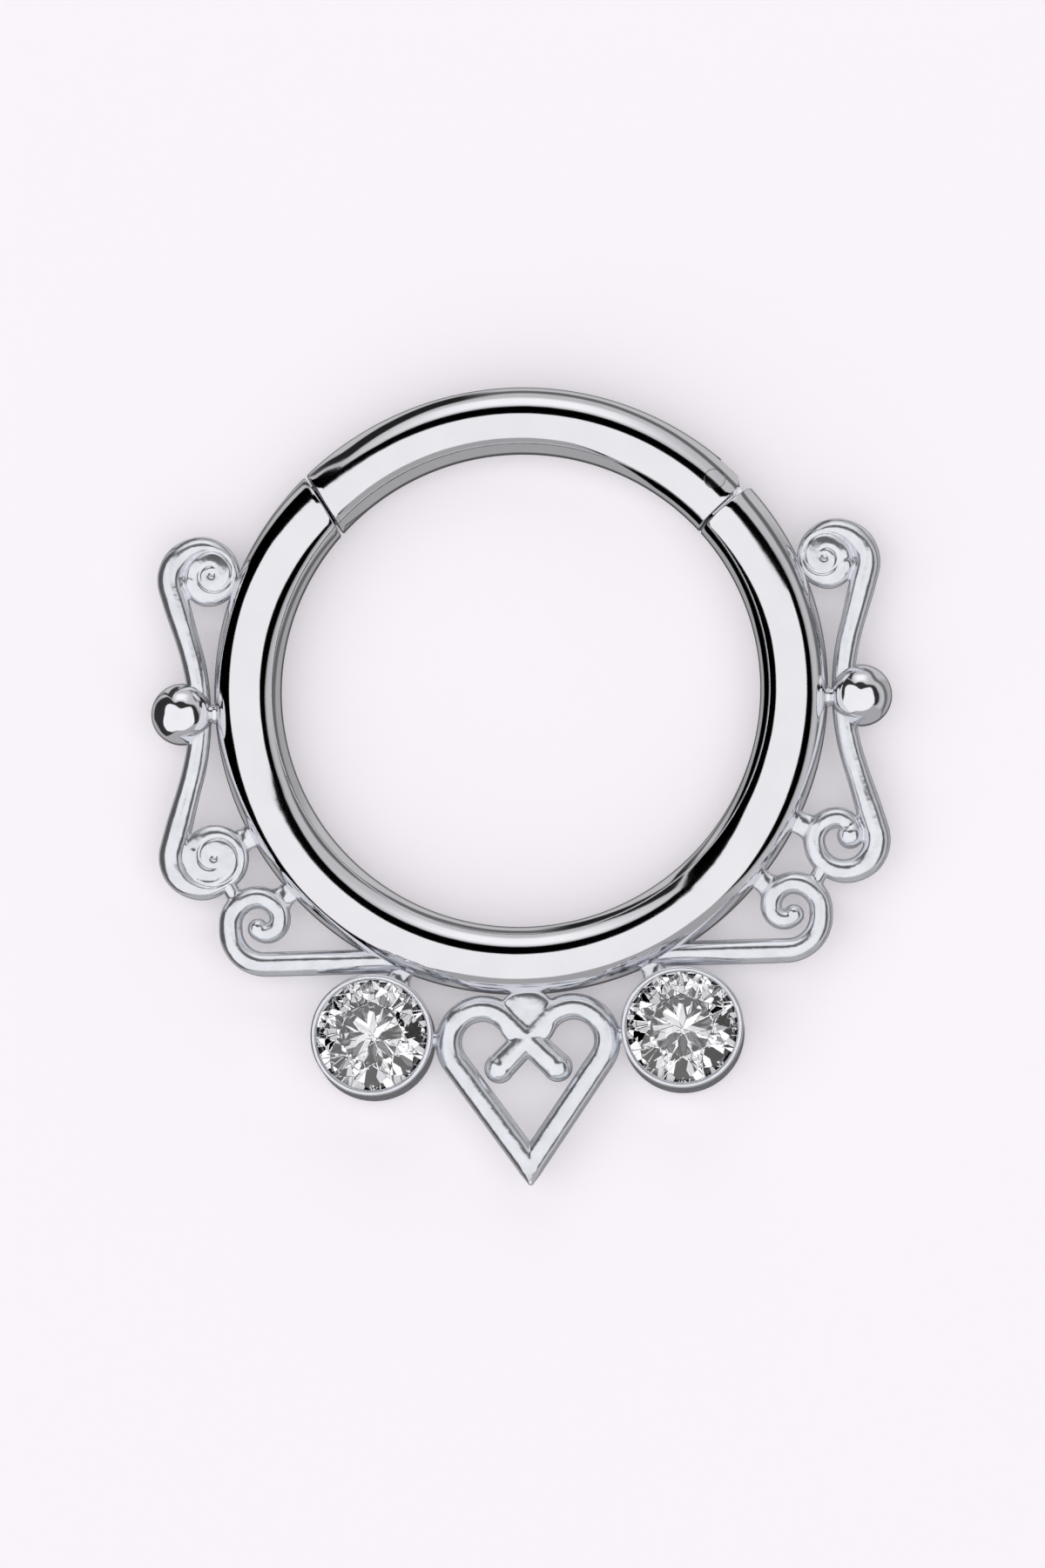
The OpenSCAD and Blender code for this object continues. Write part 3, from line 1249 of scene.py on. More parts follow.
@dataclass(frozen=True)
class Bridge:
    """A short bridge between two wires.

    Attributes:
        start: Where its middle line starts, on the right side of the ring.
        end: Where it ends.
        radius: Its radius half way.
        flare: How many times thicker it is at both ends.
        flatten: Its height as a share of its width.
    """

    start: Point
    end: Point
    radius: float
    flare: float = 1.1
    flatten: float = 1.0


@dataclass(frozen=True)
class Solder:
    """A flat fillet of solder that runs out of the band.

    Attributes:
        angle: Where it starts on the band, in degrees.
        x: Where it ends, on the right side of the ring.
        y: The same along Y.
        radius: Half its width half way.
        flatten: Its height as a share of its width.
    """

    angle: float
    x: float
    y: float
    radius: float
    flatten: float = 0.5


@dataclass(frozen=True)
class Disc:
    """A domed disc that fills the middle of a curl.

    Attributes:
        x: Its middle, on the right side of the ring.
        y: The same along Y.
        radius: Its radius.
        half_height: Half its height in the middle.
        power: 2 for an ellipse, more for a flatter top with rounder edges.
    """

    x: float
    y: float
    radius: float
    half_height: float
    power: float = 3.5


@dataclass(frozen=True)
class Casting:
    """What the cast pieces share: how wires, bridges and discs are melted into one skin.

    Attributes:
        sizes: The ring's sizes.
        tree: The tree that draws wires.
        finish: The castings' material.
        sides: Number of sides of a wire.
        grain: Size of the skin's faces.
        rounds: How many times the skin is smoothed.
        rooted: How deep inside the band's outline a fillet starts.
        fillet_flare: How many times wider a fillet is at both ends.
    """

    sizes: RingSizes
    tree: WireTree
    finish: bpy.types.Material
    sides: int = 40
    grain: float = 0.022
    rounds: int = 5
    rooted: float = 0.25
    fillet_flare: float = 1.9

    BRIDGE_STEPS = 10
    DISC_STEPS = 32
    DISC_SIDES = 64

    def wire(self, path: WirePath, side: Side, flip: int = 1, shift: float = 0.0) -> bpy.types.Mesh:
        """Draws one wire.

        Args:
            path: The wire's path on the right side.
            side: The side that it is for.
            flip: -1 where the path runs down instead of up.
            shift: How far it is moved along Y.

        Returns:
            A closed mesh.
        """
        points = [PathPoint(side.value * p.x, shift + flip * p.y, p.r) for p in path.points()]
        return self.tree.build(points, self.sizes.mid_z, self.sides, self.finish)

    def bridge(self, bridge: Bridge, side: Side) -> bpy.types.Mesh:
        """Draws a bridge.

        Args:
            bridge: Its place and its sizes.
            side: The side that it is for.

        Returns:
            A closed mesh.
        """
        points = []
        for i in range(self.BRIDGE_STEPS + 1):
            share = i / self.BRIDGE_STEPS
            x, y = (a + (b - a) * share for a, b in zip(bridge.start, bridge.end))
            swell = 1 + (bridge.flare - 1) * (2 * share - 1) ** 2
            points.append(PathPoint(side.value * x, y, bridge.radius * swell))
        return self.tree.build(points, self.sizes.mid_z, self.sides, self.finish, bridge.flatten)

    def fillet(self, solder: Solder, side: Side) -> bpy.types.Mesh:
        """Draws a fillet of solder out of the band.

        Args:
            solder: Its place and its sizes.
            side: The side that it is for.

        Returns:
            A closed mesh.
        """
        start = self.sizes.spot(self.sizes.edge_r - self.rooted, solder.angle)
        end = (solder.x, solder.y)
        drawn = Bridge(start, end, solder.radius, self.fillet_flare, solder.flatten)
        return self.bridge(drawn, side)

    def disc(self, disc: Disc, side: Side) -> bpy.types.Mesh:
        """Turns a domed disc.

        Args:
            disc: Its place and its sizes.
            side: The side that it is for.

        Returns:
            A closed mesh.
        """
        profile = []
        for i in range(self.DISC_STEPS + 1):
            turn = math.pi * (i / self.DISC_STEPS - 0.5)
            away = disc.radius * abs(math.cos(turn)) ** (2 / disc.power)
            up = math.copysign(abs(math.sin(turn)) ** (2 / disc.power), turn)
            on_axis = i in (0, self.DISC_STEPS)
            profile.append((0.0 if on_axis else away, self.sizes.mid_z + disc.half_height * up))
        return Workshop.turned(profile, Vector((side.value * disc.x, disc.y, 0)), self.DISC_SIDES)

    def melted(self, meshes: Iterable[bpy.types.Mesh]) -> bpy.types.Mesh:
        """Melts overlapping wires into one casting."""
        return Workshop.fused(Workshop.joined(meshes), self.grain, self.rounds)

    def piece(self, name: str, mesh: bpy.types.Mesh) -> bpy.types.Object:
        """Dresses a casting.

        Args:
            name: The piece's name.
            mesh: Its shape.

        Returns:
            The finished piece.
        """
        made = Workshop.finished(name, mesh, Body.FRAME, Slot.CAST, self.finish)
        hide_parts("ring_frame")
        return made


@dataclass(frozen=True)
class Whorl:
    """The shallow groove that winds into a closed curl, and the dimple at its middle, on both faces.

    Attributes:
        turns: How many times the groove goes round.
        width: Half the groove's width.
        depth: How deep it is.
        closing: How far it closes in on the middle, as a share of the curl's radius.
        fade_in: It deepens over one part in this many of its length, where it starts.
        fade_out: It runs out over one part in this many, where it ends.
        lead: Angle at which it starts, from straight away from the bead round outwards, in degrees.
        eye_width: The dimple's radius.
        eye_depth: How deep the dimple is.
    """

    turns: float = 1.4
    width: float = 0.032
    depth: float = 0.035
    closing: float = 0.75
    fade_in: float = 8.0
    fade_out: float = 5.0
    lead: float = 100.0
    eye_width: float = 0.05
    eye_depth: float = 0.06

    # How many widths away from them the groove and the dimple still show
    GROOVE_REACH = 3
    EYE_REACH = 2.5

    def groove_press(self, away: float, gone: float, outer: float) -> float:
        """Finds how much the groove presses at one place.

        Args:
            away: The place's distance from the curl's middle.
            gone: Its angle past the groove's start, as a share of a full turn.
            outer: Radius at which the groove starts.

        Returns:
            0 beside the groove and 1 in the middle of its full depth.
        """
        press = 0.0
        for lap in range(math.ceil(self.turns)):
            share = (gone + lap) / self.turns
            if share <= 1:
                off = (away - outer * (1 - share * self.closing)) / self.width
                fade = min(1.0, self.fade_in * share, self.fade_out * (1 - share))
                press = max(press, fade * math.exp(-off * off))
        return press

    def groove(self, mesh: bpy.types.Mesh, disc: Disc, side: Side, middle: float) -> None:
        """Presses the groove into both faces of a casting.

        Args:
            mesh: The casting, which is changed.
            disc: The disc that fills the curl.
            side: The side that the casting is for.
            middle: Height of the casting's middle.
        """
        up = 1 if disc.y > 0 else -1
        start = up * (90 - self.lead * side.value)
        for vertex in mesh.vertices:
            x = vertex.co.x - side.value * disc.x
            y = vertex.co.y - disc.y
            away = math.hypot(x, y)
            if away > disc.radius + self.GROOVE_REACH * self.width:
                continue
            gone = (side.value * up * (math.degrees(math.atan2(y, x)) - start)) % 360 / 360
            press = self.groove_press(away, gone, disc.radius)
            vertex.co.z -= math.copysign(self.depth * press, vertex.co.z - middle)

    def dimple(self, mesh: bpy.types.Mesh, disc: Disc, side: Side, middle: float) -> None:
        """Presses the dimple into both faces of a casting.

        Args:
            mesh: The casting, which is changed.
            disc: The disc that fills the curl.
            side: The side that the casting is for.
            middle: Height of the casting's middle.
        """
        for vertex in mesh.vertices:
            x = vertex.co.x - side.value * disc.x
            y = vertex.co.y - disc.y
            away = math.hypot(x, y) / self.eye_width
            if away < self.EYE_REACH:
                press = self.eye_depth * math.exp(-away * away)
                vertex.co.z -= math.copysign(press, vertex.co.z - middle)


class Curl(Enum):
    """How tightly the end of a side scroll is rolled."""

    CLOSED = "closed"
    OPEN = "open"


@dataclass(frozen=True)
class Roll:
    """The rolled end of a side scroll.

    Attributes:
        bends: Its bends.
        taper: Pairs of share of the scroll's whole length and wire radius.
        end_r: Radius of the rounded end.
    """

    bends: tuple[Bend, ...]
    taper: tuple[Pair, ...]
    end_r: float


ROLLS = {
    Curl.CLOSED: Roll(
        (Bend(0.49, 90), Bend(0.39, 90), Bend(0.26, 90)), ((0.72, 0.197), (0.86, 0.178), (1.0, 0.158)), 0.2),
    Curl.OPEN: Roll(
        (Bend(0.55, 90), Bend(0.41, 90), Bend(0.25, 90), Bend(0.16, 30)),
        ((0.72, 0.195), (0.86, 0.19), (1.0, 0.18)), 0.235),
}


@dataclass(frozen=True)
class SideScrolls:
    """One side's pair of scrolls, which meet at the waist behind the bead.

    Attributes:
        casting: What the castings share.
        side: The side that they are for.
        upper_curl: How the upper scroll's end is rolled.
        lower_curl: How the lower scroll's end is rolled.
        wire_r: The wire's radius where it is thickest.
        waist_y: Height of the waist.
        waist_x: How far the waist's middle line stands outside the band.
        waist_bend: Radius of the wire's bend at the waist.
        waist_turn: Angle of that bend.
        shoulder_r: Radius of the wire's first bend towards its end.
        upper_run: Length of the upper scroll's straight stretch.
        lower_run: Length of the lower scroll's straight stretch.
        upper_disc: What fills the upper curl where it is closed.
        lower_disc: What fills the lower curl where it is closed.
        solder: The fillets between the scrolls and the band.
    """

    casting: Casting
    side: Side
    upper_curl: Curl
    lower_curl: Curl
    wire_r: float = 0.235
    waist_y: float = -0.28
    waist_x: float = 0.26
    waist_bend: float = 4.37
    waist_turn: float = 16.0
    shoulder_r: float = 0.565
    upper_run: float = 1.1
    lower_run: float = 1.25
    upper_disc: Disc = Disc(5.45, 2.2, 0.5, 0.21)
    lower_disc: Disc = Disc(5.48, -2.88, 0.6, 0.2)
    solder: tuple[Solder, ...] = (Solder(21.6, 5.4, 2.12, 0.2), Solder(-27.3, 5.2, -2.69, 0.21))

    def path(self, run: float, curl: Curl) -> WirePath:
        """Sets out one scroll, drawn upwards from the waist.

        Args:
            run: Length of its straight stretch.
            curl: How its end is rolled.

        Returns:
            Its path, thinnest at the waist and at the end.
        """
        roll = ROLLS[curl]
        wide = self.wire_r
        bends = (Bend(-self.waist_bend, self.waist_turn), Bend(0, run),
                 Bend(self.shoulder_r, 90 + self.waist_turn))
        taper = ((0.0, wide - 0.035), (0.24, wide - 0.025), (0.4, wide), (0.54, wide), (0.63, wide - 0.02))
        start = (self.casting.sizes.edge_r + self.waist_x, 0.0)
        return WirePath(start, 90, bends + roll.bends, taper + roll.taper, roll.end_r)

    def filled(self) -> list[Disc]:
        """The discs of the curls that are closed."""
        curls = ((self.upper_disc, self.upper_curl), (self.lower_disc, self.lower_curl))
        return [disc for disc, curl in curls if curl is Curl.CLOSED]

    def piece(self) -> bpy.types.Object:
        """Makes the pair.

        Returns:
            The finished piece.
        """
        casting = self.casting
        upper = self.path(self.upper_run, self.upper_curl)
        lower = self.path(self.lower_run, self.lower_curl)
        shells = [casting.wire(upper, self.side, 1, self.waist_y),
                  casting.wire(lower, self.side, -1, self.waist_y)]
        shells += [casting.fillet(solder, self.side) for solder in self.solder]
        shells += [casting.disc(disc, self.side) for disc in self.filled()]
        mesh = casting.melted(shells)
        whorl = Whorl()
        for disc in self.filled():
            whorl.groove(mesh, disc, self.side, casting.sizes.mid_z)
            whorl.dimple(mesh, disc, self.side, casting.sizes.mid_z)
        return casting.piece("side_scrolls_" + self.side.word, mesh)


@dataclass(frozen=True)
class CornerScroll:
    """A straight bar out of the band and the open curl at its end.

    Attributes:
        casting: What the castings share.
        side: The side that it is for.
        bar_y: Height of the bar's middle line.
        bar_start_x: Where the bar starts, inside the band.
        bar_end_x: Where it ends.
        end_r: Radius of the wire's rounded end.
        solder: The fillet between the curl and the band.
        link: The bridge between the curl and the side scroll.
    """

    casting: Casting
    side: Side
    bar_y: float = -4.79
    bar_start_x: float = 2.0
    bar_end_x: float = 4.6
    end_r: float = 0.185
    solder: Solder = Solder(-40.1, 4.43, -3.73, 0.2)
    link: Bridge = Bridge((5.27, -3.33), (5.05, -3.72), 0.14, 1.05)

    def path(self) -> WirePath:
        """Sets out the wire.

        Returns:
            Its path, from inside the band to the eye of the curl.
        """
        bends = (Bend(0, self.bar_end_x - self.bar_start_x), Bend(0.62, 90), Bend(0, 0.1), Bend(0.48, 90),
                 Bend(0.4, 90), Bend(0.25, 90), Bend(0.17, 60))
        taper = ((0.0, 0.215), (0.4, 0.22), (0.58, 0.21), (0.7, 0.205), (0.84, 0.195), (0.94, 0.185),
                 (1.0, 0.17))
        return WirePath((self.bar_start_x, self.bar_y), 0, bends, taper, self.end_r)

    def piece(self) -> bpy.types.Object:
        """Makes the corner scroll.

        Returns:
            The finished piece.
        """
        casting = self.casting
        shells = [casting.wire(self.path(), self.side), casting.fillet(self.solder, self.side),
                  casting.bridge(self.link, self.side)]
        return casting.piece("corner_scroll_" + self.side.word, casting.melted(shells))


@dataclass(frozen=True)
class Bead:
    """A polished bead on a short neck, which covers the waist of the side scrolls.

    Attributes:
        sizes: The ring's sizes.
        side: The side that it is for.
        radius: Its radius.
        gap: Gap between it and the band, which the neck crosses.
        waist_y: Its height along Y.
        neck_r: Radius at which the neck runs into the bead.
        neck_root: How deep the neck is rooted in the band.
        foot_flare: The neck's radius at its foot, as a share of neck_r.
        top_flare: The same where the bead starts.
        steps: Number of steps round half of the bead.
        crease: Angle over which an edge stays sharp.
    """

    sizes: RingSizes
    side: Side
    radius: float = 0.549
    gap: float = 0.03
    waist_y: float = -0.28
    neck_r: float = 0.16
    neck_root: float = 0.25
    foot_flare: float = 1.25
    top_flare: float = 1.15
    steps: int = 64
    crease: float = 50.0

    def mesh(self) -> bpy.types.Mesh:
        """Makes the bead with its neck, turned about the line from the ring's middle.

        Returns:
            A closed mesh.
        """
        top = -self.radius - self.gap
        foot = top - self.neck_root
        profile = [(0.0, foot), (self.neck_r * self.foot_flare, foot), (self.neck_r * self.top_flare, top)]
        first = math.asin(self.neck_r / self.radius)
        for i in range(self.steps + 1):
            turn = -math.pi / 2 + first + (math.pi - first) * i / self.steps
            away = self.radius * math.cos(turn) if i < self.steps else 0.0
            profile.append((away, self.radius * math.sin(turn)))
        mesh = Workshop.turned(profile, Vector((0, 0, 0)), 2 * self.steps)
        middle = self.side.value * (self.sizes.edge_r + self.radius + self.gap)
        outwards = Matrix.Rotation(self.side.value * math.pi / 2, 4, "Y")
        mesh.transform(Matrix.Translation((middle, self.waist_y, self.sizes.mid_z)) @ outwards)
        Workshop.creased(mesh, self.crease)
        return mesh

    def piece(self, finishes: Finishes) -> bpy.types.Object:
        """Makes the bead and dresses it.

        Args:
            finishes: The ring's materials.

        Returns:
            The finished piece.
        """
        name = "bead_" + self.side.word
        made = Workshop.finished(name, self.mesh(), Body.FRAME, Slot.BAND, finishes.bead)
        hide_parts("ring_frame")
        return made


@dataclass(frozen=True)
class StoneSetting:
    """A round brilliant and the turned cup that holds it.

    Attributes:
        casting: What the castings share.
        side: The side that it is for.
        x: The stone's axis, on the right side of the ring.
        y: The same along Y.
        girdle_r: Radius of the stone.
        girdle_z: Height of the middle of its girdle.
        wall: Thickness of the cup's wall outside the stone.
        foot_z: Height of the cup's foot.
        rim: How far the rim stands over the girdle.
        lip: How far the lip reaches in over the stone.
        lip_z: How far over the girdle the lip's underside starts.
        shoulder_z: How far over the girdle the room for the stone ends.
        room: Gap round the stone.
        bore_share: The cup's bore below the seat, as a share of the stone.
        seat_drop: How far under the girdle the seat starts.
        seat_slope: How steeply the seat runs down to the bore.
        foot_break: How far the cup's lower edges are broken.
        bore_break: The same on the inside.
        table_share: The table's corners, as a share of the stone's radius.
        star_share: The tips of the star facets.
        lower_share: The upper tips of the culet's kites.
        crown: Height of the crown.
        pavilion: Depth of the pavilion.
        half_girdle: Half the girdle's thickness.
        bevel: Width of the facets' broken edges.
    """

    casting: Casting
    side: Side
    x: float = 2.73
    y: float = -6.14
    girdle_r: float = 1.0
    girdle_z: float = 0.93
    wall: float = 0.08
    foot_z: float = 0.1
    rim: float = 0.12
    lip: float = 0.025
    lip_z: float = 0.062
    shoulder_z: float = 0.04
    room: float = 0.012
    bore_share: float = 0.84
    seat_drop: float = 0.045
    seat_slope: float = 0.82
    foot_break: float = 0.05
    bore_break: float = 0.03
    table_share: float = 0.56
    star_share: float = 0.8
    lower_share: float = 0.22
    crown: float = 0.31
    pavilion: float = 0.8
    half_girdle: float = 0.02
    bevel: float = 0.007

    RIM_STEPS = 10
    CUP_SIDES = 128

    @property
    def centre(self) -> Vector:
        """The stone's axis on the surface that the ring lies on."""
        return Vector((self.side.value * self.x, self.y, 0))

    def cup(self) -> bpy.types.Mesh:
        """Makes the cup's wall with its seat, its lip and a rounded rim.

        Returns:
            A closed mesh.
        """
        outer = self.girdle_r + self.wall
        inner = self.girdle_r + self.room
        lip_r = self.girdle_r - self.lip
        bore = self.bore_share * self.girdle_r
        seat_z = self.girdle_z - self.seat_drop
        round_r = (outer - lip_r) / 2
        round_z = self.girdle_z + self.rim - round_r
        profile = [(bore, self.foot_z + self.bore_break), (bore + self.bore_break, self.foot_z),
                   (outer - self.foot_break, self.foot_z), (outer, self.foot_z + self.foot_break),
                   (outer, round_z)]
        for i in range(1, self.RIM_STEPS):
            turn = math.pi * i / self.RIM_STEPS
            profile.append((outer - round_r + round_r * math.cos(turn), round_z + round_r * math.sin(turn)))
        profile += [(lip_r, round_z), (lip_r, self.girdle_z + self.lip_z),
                    (inner, self.girdle_z + self.shoulder_z), (inner, seat_z),
                    (bore, seat_z - self.seat_slope * (inner - bore))]
        mesh = Workshop.turned(profile, self.centre, self.CUP_SIDES)
        Workshop.creased(mesh)
        return mesh

    def corners(self, shape: bmesh.types.BMesh, count: int, radius: float, start: float,
                height: float) -> list[bmesh.types.BMVert]:
        """Adds a ring of the stone's corners.

        Args:
            shape: The stone.
            count: How many corners.
            radius: Their distance from the stone's axis.
            start: The first one's angle in degrees.
            height: Their height over the girdle's middle.

        Returns:
            The corners.
        """
        made = []
        for i in range(count):
            turn = math.radians(start + 360 * i / count)
            spot = (radius * math.cos(turn), radius * math.sin(turn), self.girdle_z + height)
            made.append(shape.verts.new(self.centre + Vector(spot)))
        return made

    def stone(self) -> bpy.types.Mesh:
        """Cuts the stone: a table, stars, kites and girdle facets above a full pavilion.

        Returns:
            A closed mesh.
        """
        radius = self.girdle_r
        half_turn = 180 / 8
        half_step = math.cos(math.radians(half_turn))
        table_r = radius * self.table_share
        star_r = radius * self.star_share
        lower_r = radius * self.lower_share
        star_z = self.half_girdle + self.crown * (radius - star_r * half_step) / (radius - table_r)
        lower_z = -self.half_girdle - self.pavilion * (1 - lower_r * half_step / radius)
        shape = bmesh.new()
        table = self.corners(shape, 8, table_r, 0, self.half_girdle + self.crown)
        star = self.corners(shape, 8, star_r, half_turn, star_z)
        top = self.corners(shape, 16, radius, 0, self.half_girdle)
        bottom = self.corners(shape, 16, radius, 0, -self.half_girdle)
        lower = self.corners(shape, 8, lower_r, half_turn, lower_z)
        culet = self.corners(shape, 1, 0, 0, -self.half_girdle - self.pavilion)[0]
        faces = [table]
        for i in range(8):
            after, before = (i + 1) % 8, (i + 7) % 8
            near, far = 2 * i + 1, (2 * i + 2) % 16
            faces += [
                (table[i], table[after], star[i]),
                (table[i], star[i], top[2 * i], star[before]),
                (star[i], top[near], top[2 * i]),
                (star[i], top[far], top[near]),
                (bottom[2 * i], bottom[near], lower[i]),
                (bottom[near], bottom[far], lower[i]),
                (bottom[2 * i], lower[i], culet, lower[before]),
            ]
        for i in range(16):
            after = (i + 1) % 16
            faces.append((top[i], top[after], bottom[after], bottom[i]))
        for corners in faces:
            shape.faces.new(corners)
        bmesh.ops.recalc_face_normals(shape, faces=shape.faces)
        bmesh.ops.bevel(shape, geom=list(shape.edges), offset=self.bevel, segments=1, affect="EDGES",
                        clamp_overlap=True)
        return Workshop.baked("stone", shape)

    def pieces(self, finishes: Finishes) -> list[bpy.types.Object]:
        """Makes the cup and its stone.

        Args:
            finishes: The ring's materials.

        Returns:
            The two finished pieces.
        """
        word = self.side.word
        cup = self.casting.piece("stone_cup_" + word, self.cup())
        stone = Workshop.finished("brilliant_" + word, self.stone(), Body.FRAME, Slot.STONE, finishes.stone)
        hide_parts("stone_" + word)
        return [cup, stone]


@dataclass(frozen=True)
class Heart:
    """The open heart: two crossing wires that meet in a point, with the solder on both sides of it.

    Attributes:
        casting: What the castings share.
        wire_r: The wire's radius.
        lobe_r: Radius of the lobes at the middle of the wire.
        lobe_x: Where the middle of a lobe stands.
        lobe_y: The same along Y.
        lean: Angle of the straight sides off the heart's axis.
        arm: Length of the wire past a lobe, across the heart's axis to its end.
        end_r: Radius of the wire's rounded end.
        swell: How much thicker the wire is at its end.
        tip: Outline of the cast point, as distance from its axis and distance below the wires' crossing.
        tip_ball_r: Radius of the ball that rounds the point.
        tip_ball_drop: How far below the crossing that ball is.
        web: The disc that fills the dip between the lobes.
        link: The bridge between the heart and a stone's cup.
        fillet_angle: Angle on the band of the fillet that runs to a cup.
        fillet_end: How far from the ring's middle it ends.
        fillet_r: Half its width half way.
        fillet_flatten: Its height as a share of its width.
    """

    casting: Casting
    wire_r: float = 0.235
    lobe_r: float = 0.6
    lobe_x: float = 0.8
    lobe_y: float = -6.28
    lean: float = 35.0
    arm: float = 1.26
    end_r: float = 0.265
    swell: float = 0.02
    tip: tuple[Point, ...] = (
        (0.0, -0.06), (0.22, -0.06), (0.2, 0.13), (0.055, 0.32), (0.05, 0.35), (0.0, 0.36))
    tip_ball_r: float = 0.065
    tip_ball_drop: float = 0.29
    web: Disc = Disc(0.0, -5.87, 0.53, 0.2, 5.0)
    link: Bridge = Bridge((1.4, -6.2), (1.76, -6.2), 0.13)
    fillet_angle: float = -66.2
    fillet_end: float = 5.8
    fillet_r: float = 0.2
    fillet_flatten: float = 0.6

    CONE_SIDES = 48
    BALL_ROWS = 16

    @property
    def run(self) -> float:
        """Length of a straight side."""
        lean = math.radians(self.lean)
        return (self.lobe_x + self.lobe_r * math.cos(lean)) / math.sin(lean)

    @property
    def tip_y(self) -> float:
        """Where the two sides cross at the bottom."""
        lean = math.radians(self.lean)
        return self.lobe_y - self.lobe_r * math.sin(lean) - self.run * math.cos(lean)

    def path(self) -> WirePath:
        """Sets out one half.

        Returns:
            Its path, from the point over the lobe to the end past the middle.
        """
        bends = (Bend(0, self.run), Bend(-self.lobe_r, 135 + self.lean), Bend(0, self.arm))
        wide = self.wire_r
        taper = ((0.0, wide), (0.45, wide), (0.6, wide - 0.005), (0.8, wide), (1.0, wide + self.swell))
        return WirePath((0, self.tip_y), 90 + self.lean, bends, taper, self.end_r)

    def cone(self) -> bpy.types.Mesh:
        """Makes the cast point below the crossing.

        Returns:
            A closed mesh.
        """
        made = Workshop.turned(self.tip, Vector((0, 0, 0)), self.CONE_SIDES)
        forwards = Matrix.Rotation(math.pi / 2, 4, "X")
        made.transform(Matrix.Translation((0, self.tip_y, self.casting.sizes.mid_z)) @ forwards)
        return made

    def cone_end(self) -> bpy.types.Mesh:
        """Makes the ball that rounds the point.

        Returns:
            A closed mesh.
        """
        place = (0, self.tip_y - self.tip_ball_drop, self.casting.sizes.mid_z)
        return Workshop.ball(self.tip_ball_r, Matrix.Translation(place), self.BALL_ROWS)

    def piece(self) -> bpy.types.Object:
        """Makes the heart.

        Returns:
            The finished piece.
        """
        casting = self.casting
        end = casting.sizes.spot(self.fillet_end, self.fillet_angle)
        fillet = Solder(self.fillet_angle, *end, self.fillet_r, self.fillet_flatten)
        shells = [casting.wire(self.path(), Side.RIGHT), casting.wire(self.path(), Side.LEFT),
                  self.cone(), casting.disc(self.web, Side.RIGHT), self.cone_end()]
        for side in Side:
            shells += [casting.bridge(self.link, side), casting.fillet(fillet, side)]
        return casting.piece("open_heart", casting.melted(shells))


@dataclass(frozen=True)
class Direction:
    """The direction that a ray of light comes from.

    Attributes:
        vector: The direction itself.
        x: Its share along X.
        tilt: Its angle from straight up, in degrees.
        bearing: Its angle round the ring, in degrees from X.
        turn: The same as a share of a full turn, from 0 to 1.
    """

    vector: Term
    x: Term
    tilt: Term
    bearing: Term
    turn: Term

    @classmethod
    def read(cls, kit: NodeKit) -> "Direction":
        """Reads it in the world's tree.

        Args:
            kit: The tree.

        Returns:
            The direction.
        """
        vector = kit.term("ShaderNodeTexCoord", output="Generated")
        split = kit.node("ShaderNodeSeparateXYZ", None, {"Vector": vector})
        x, y, z = (Term(kit, split.outputs[i]) for i in range(3))
        degrees = 180 / math.pi
        bearing = kit.math("ARCTAN2", y, x) * degrees
        turn = kit.math("FRACT", bearing * (1 / 360))
        return cls(vector, x, kit.math("ARCCOSINE", z) * degrees, bearing, turn)


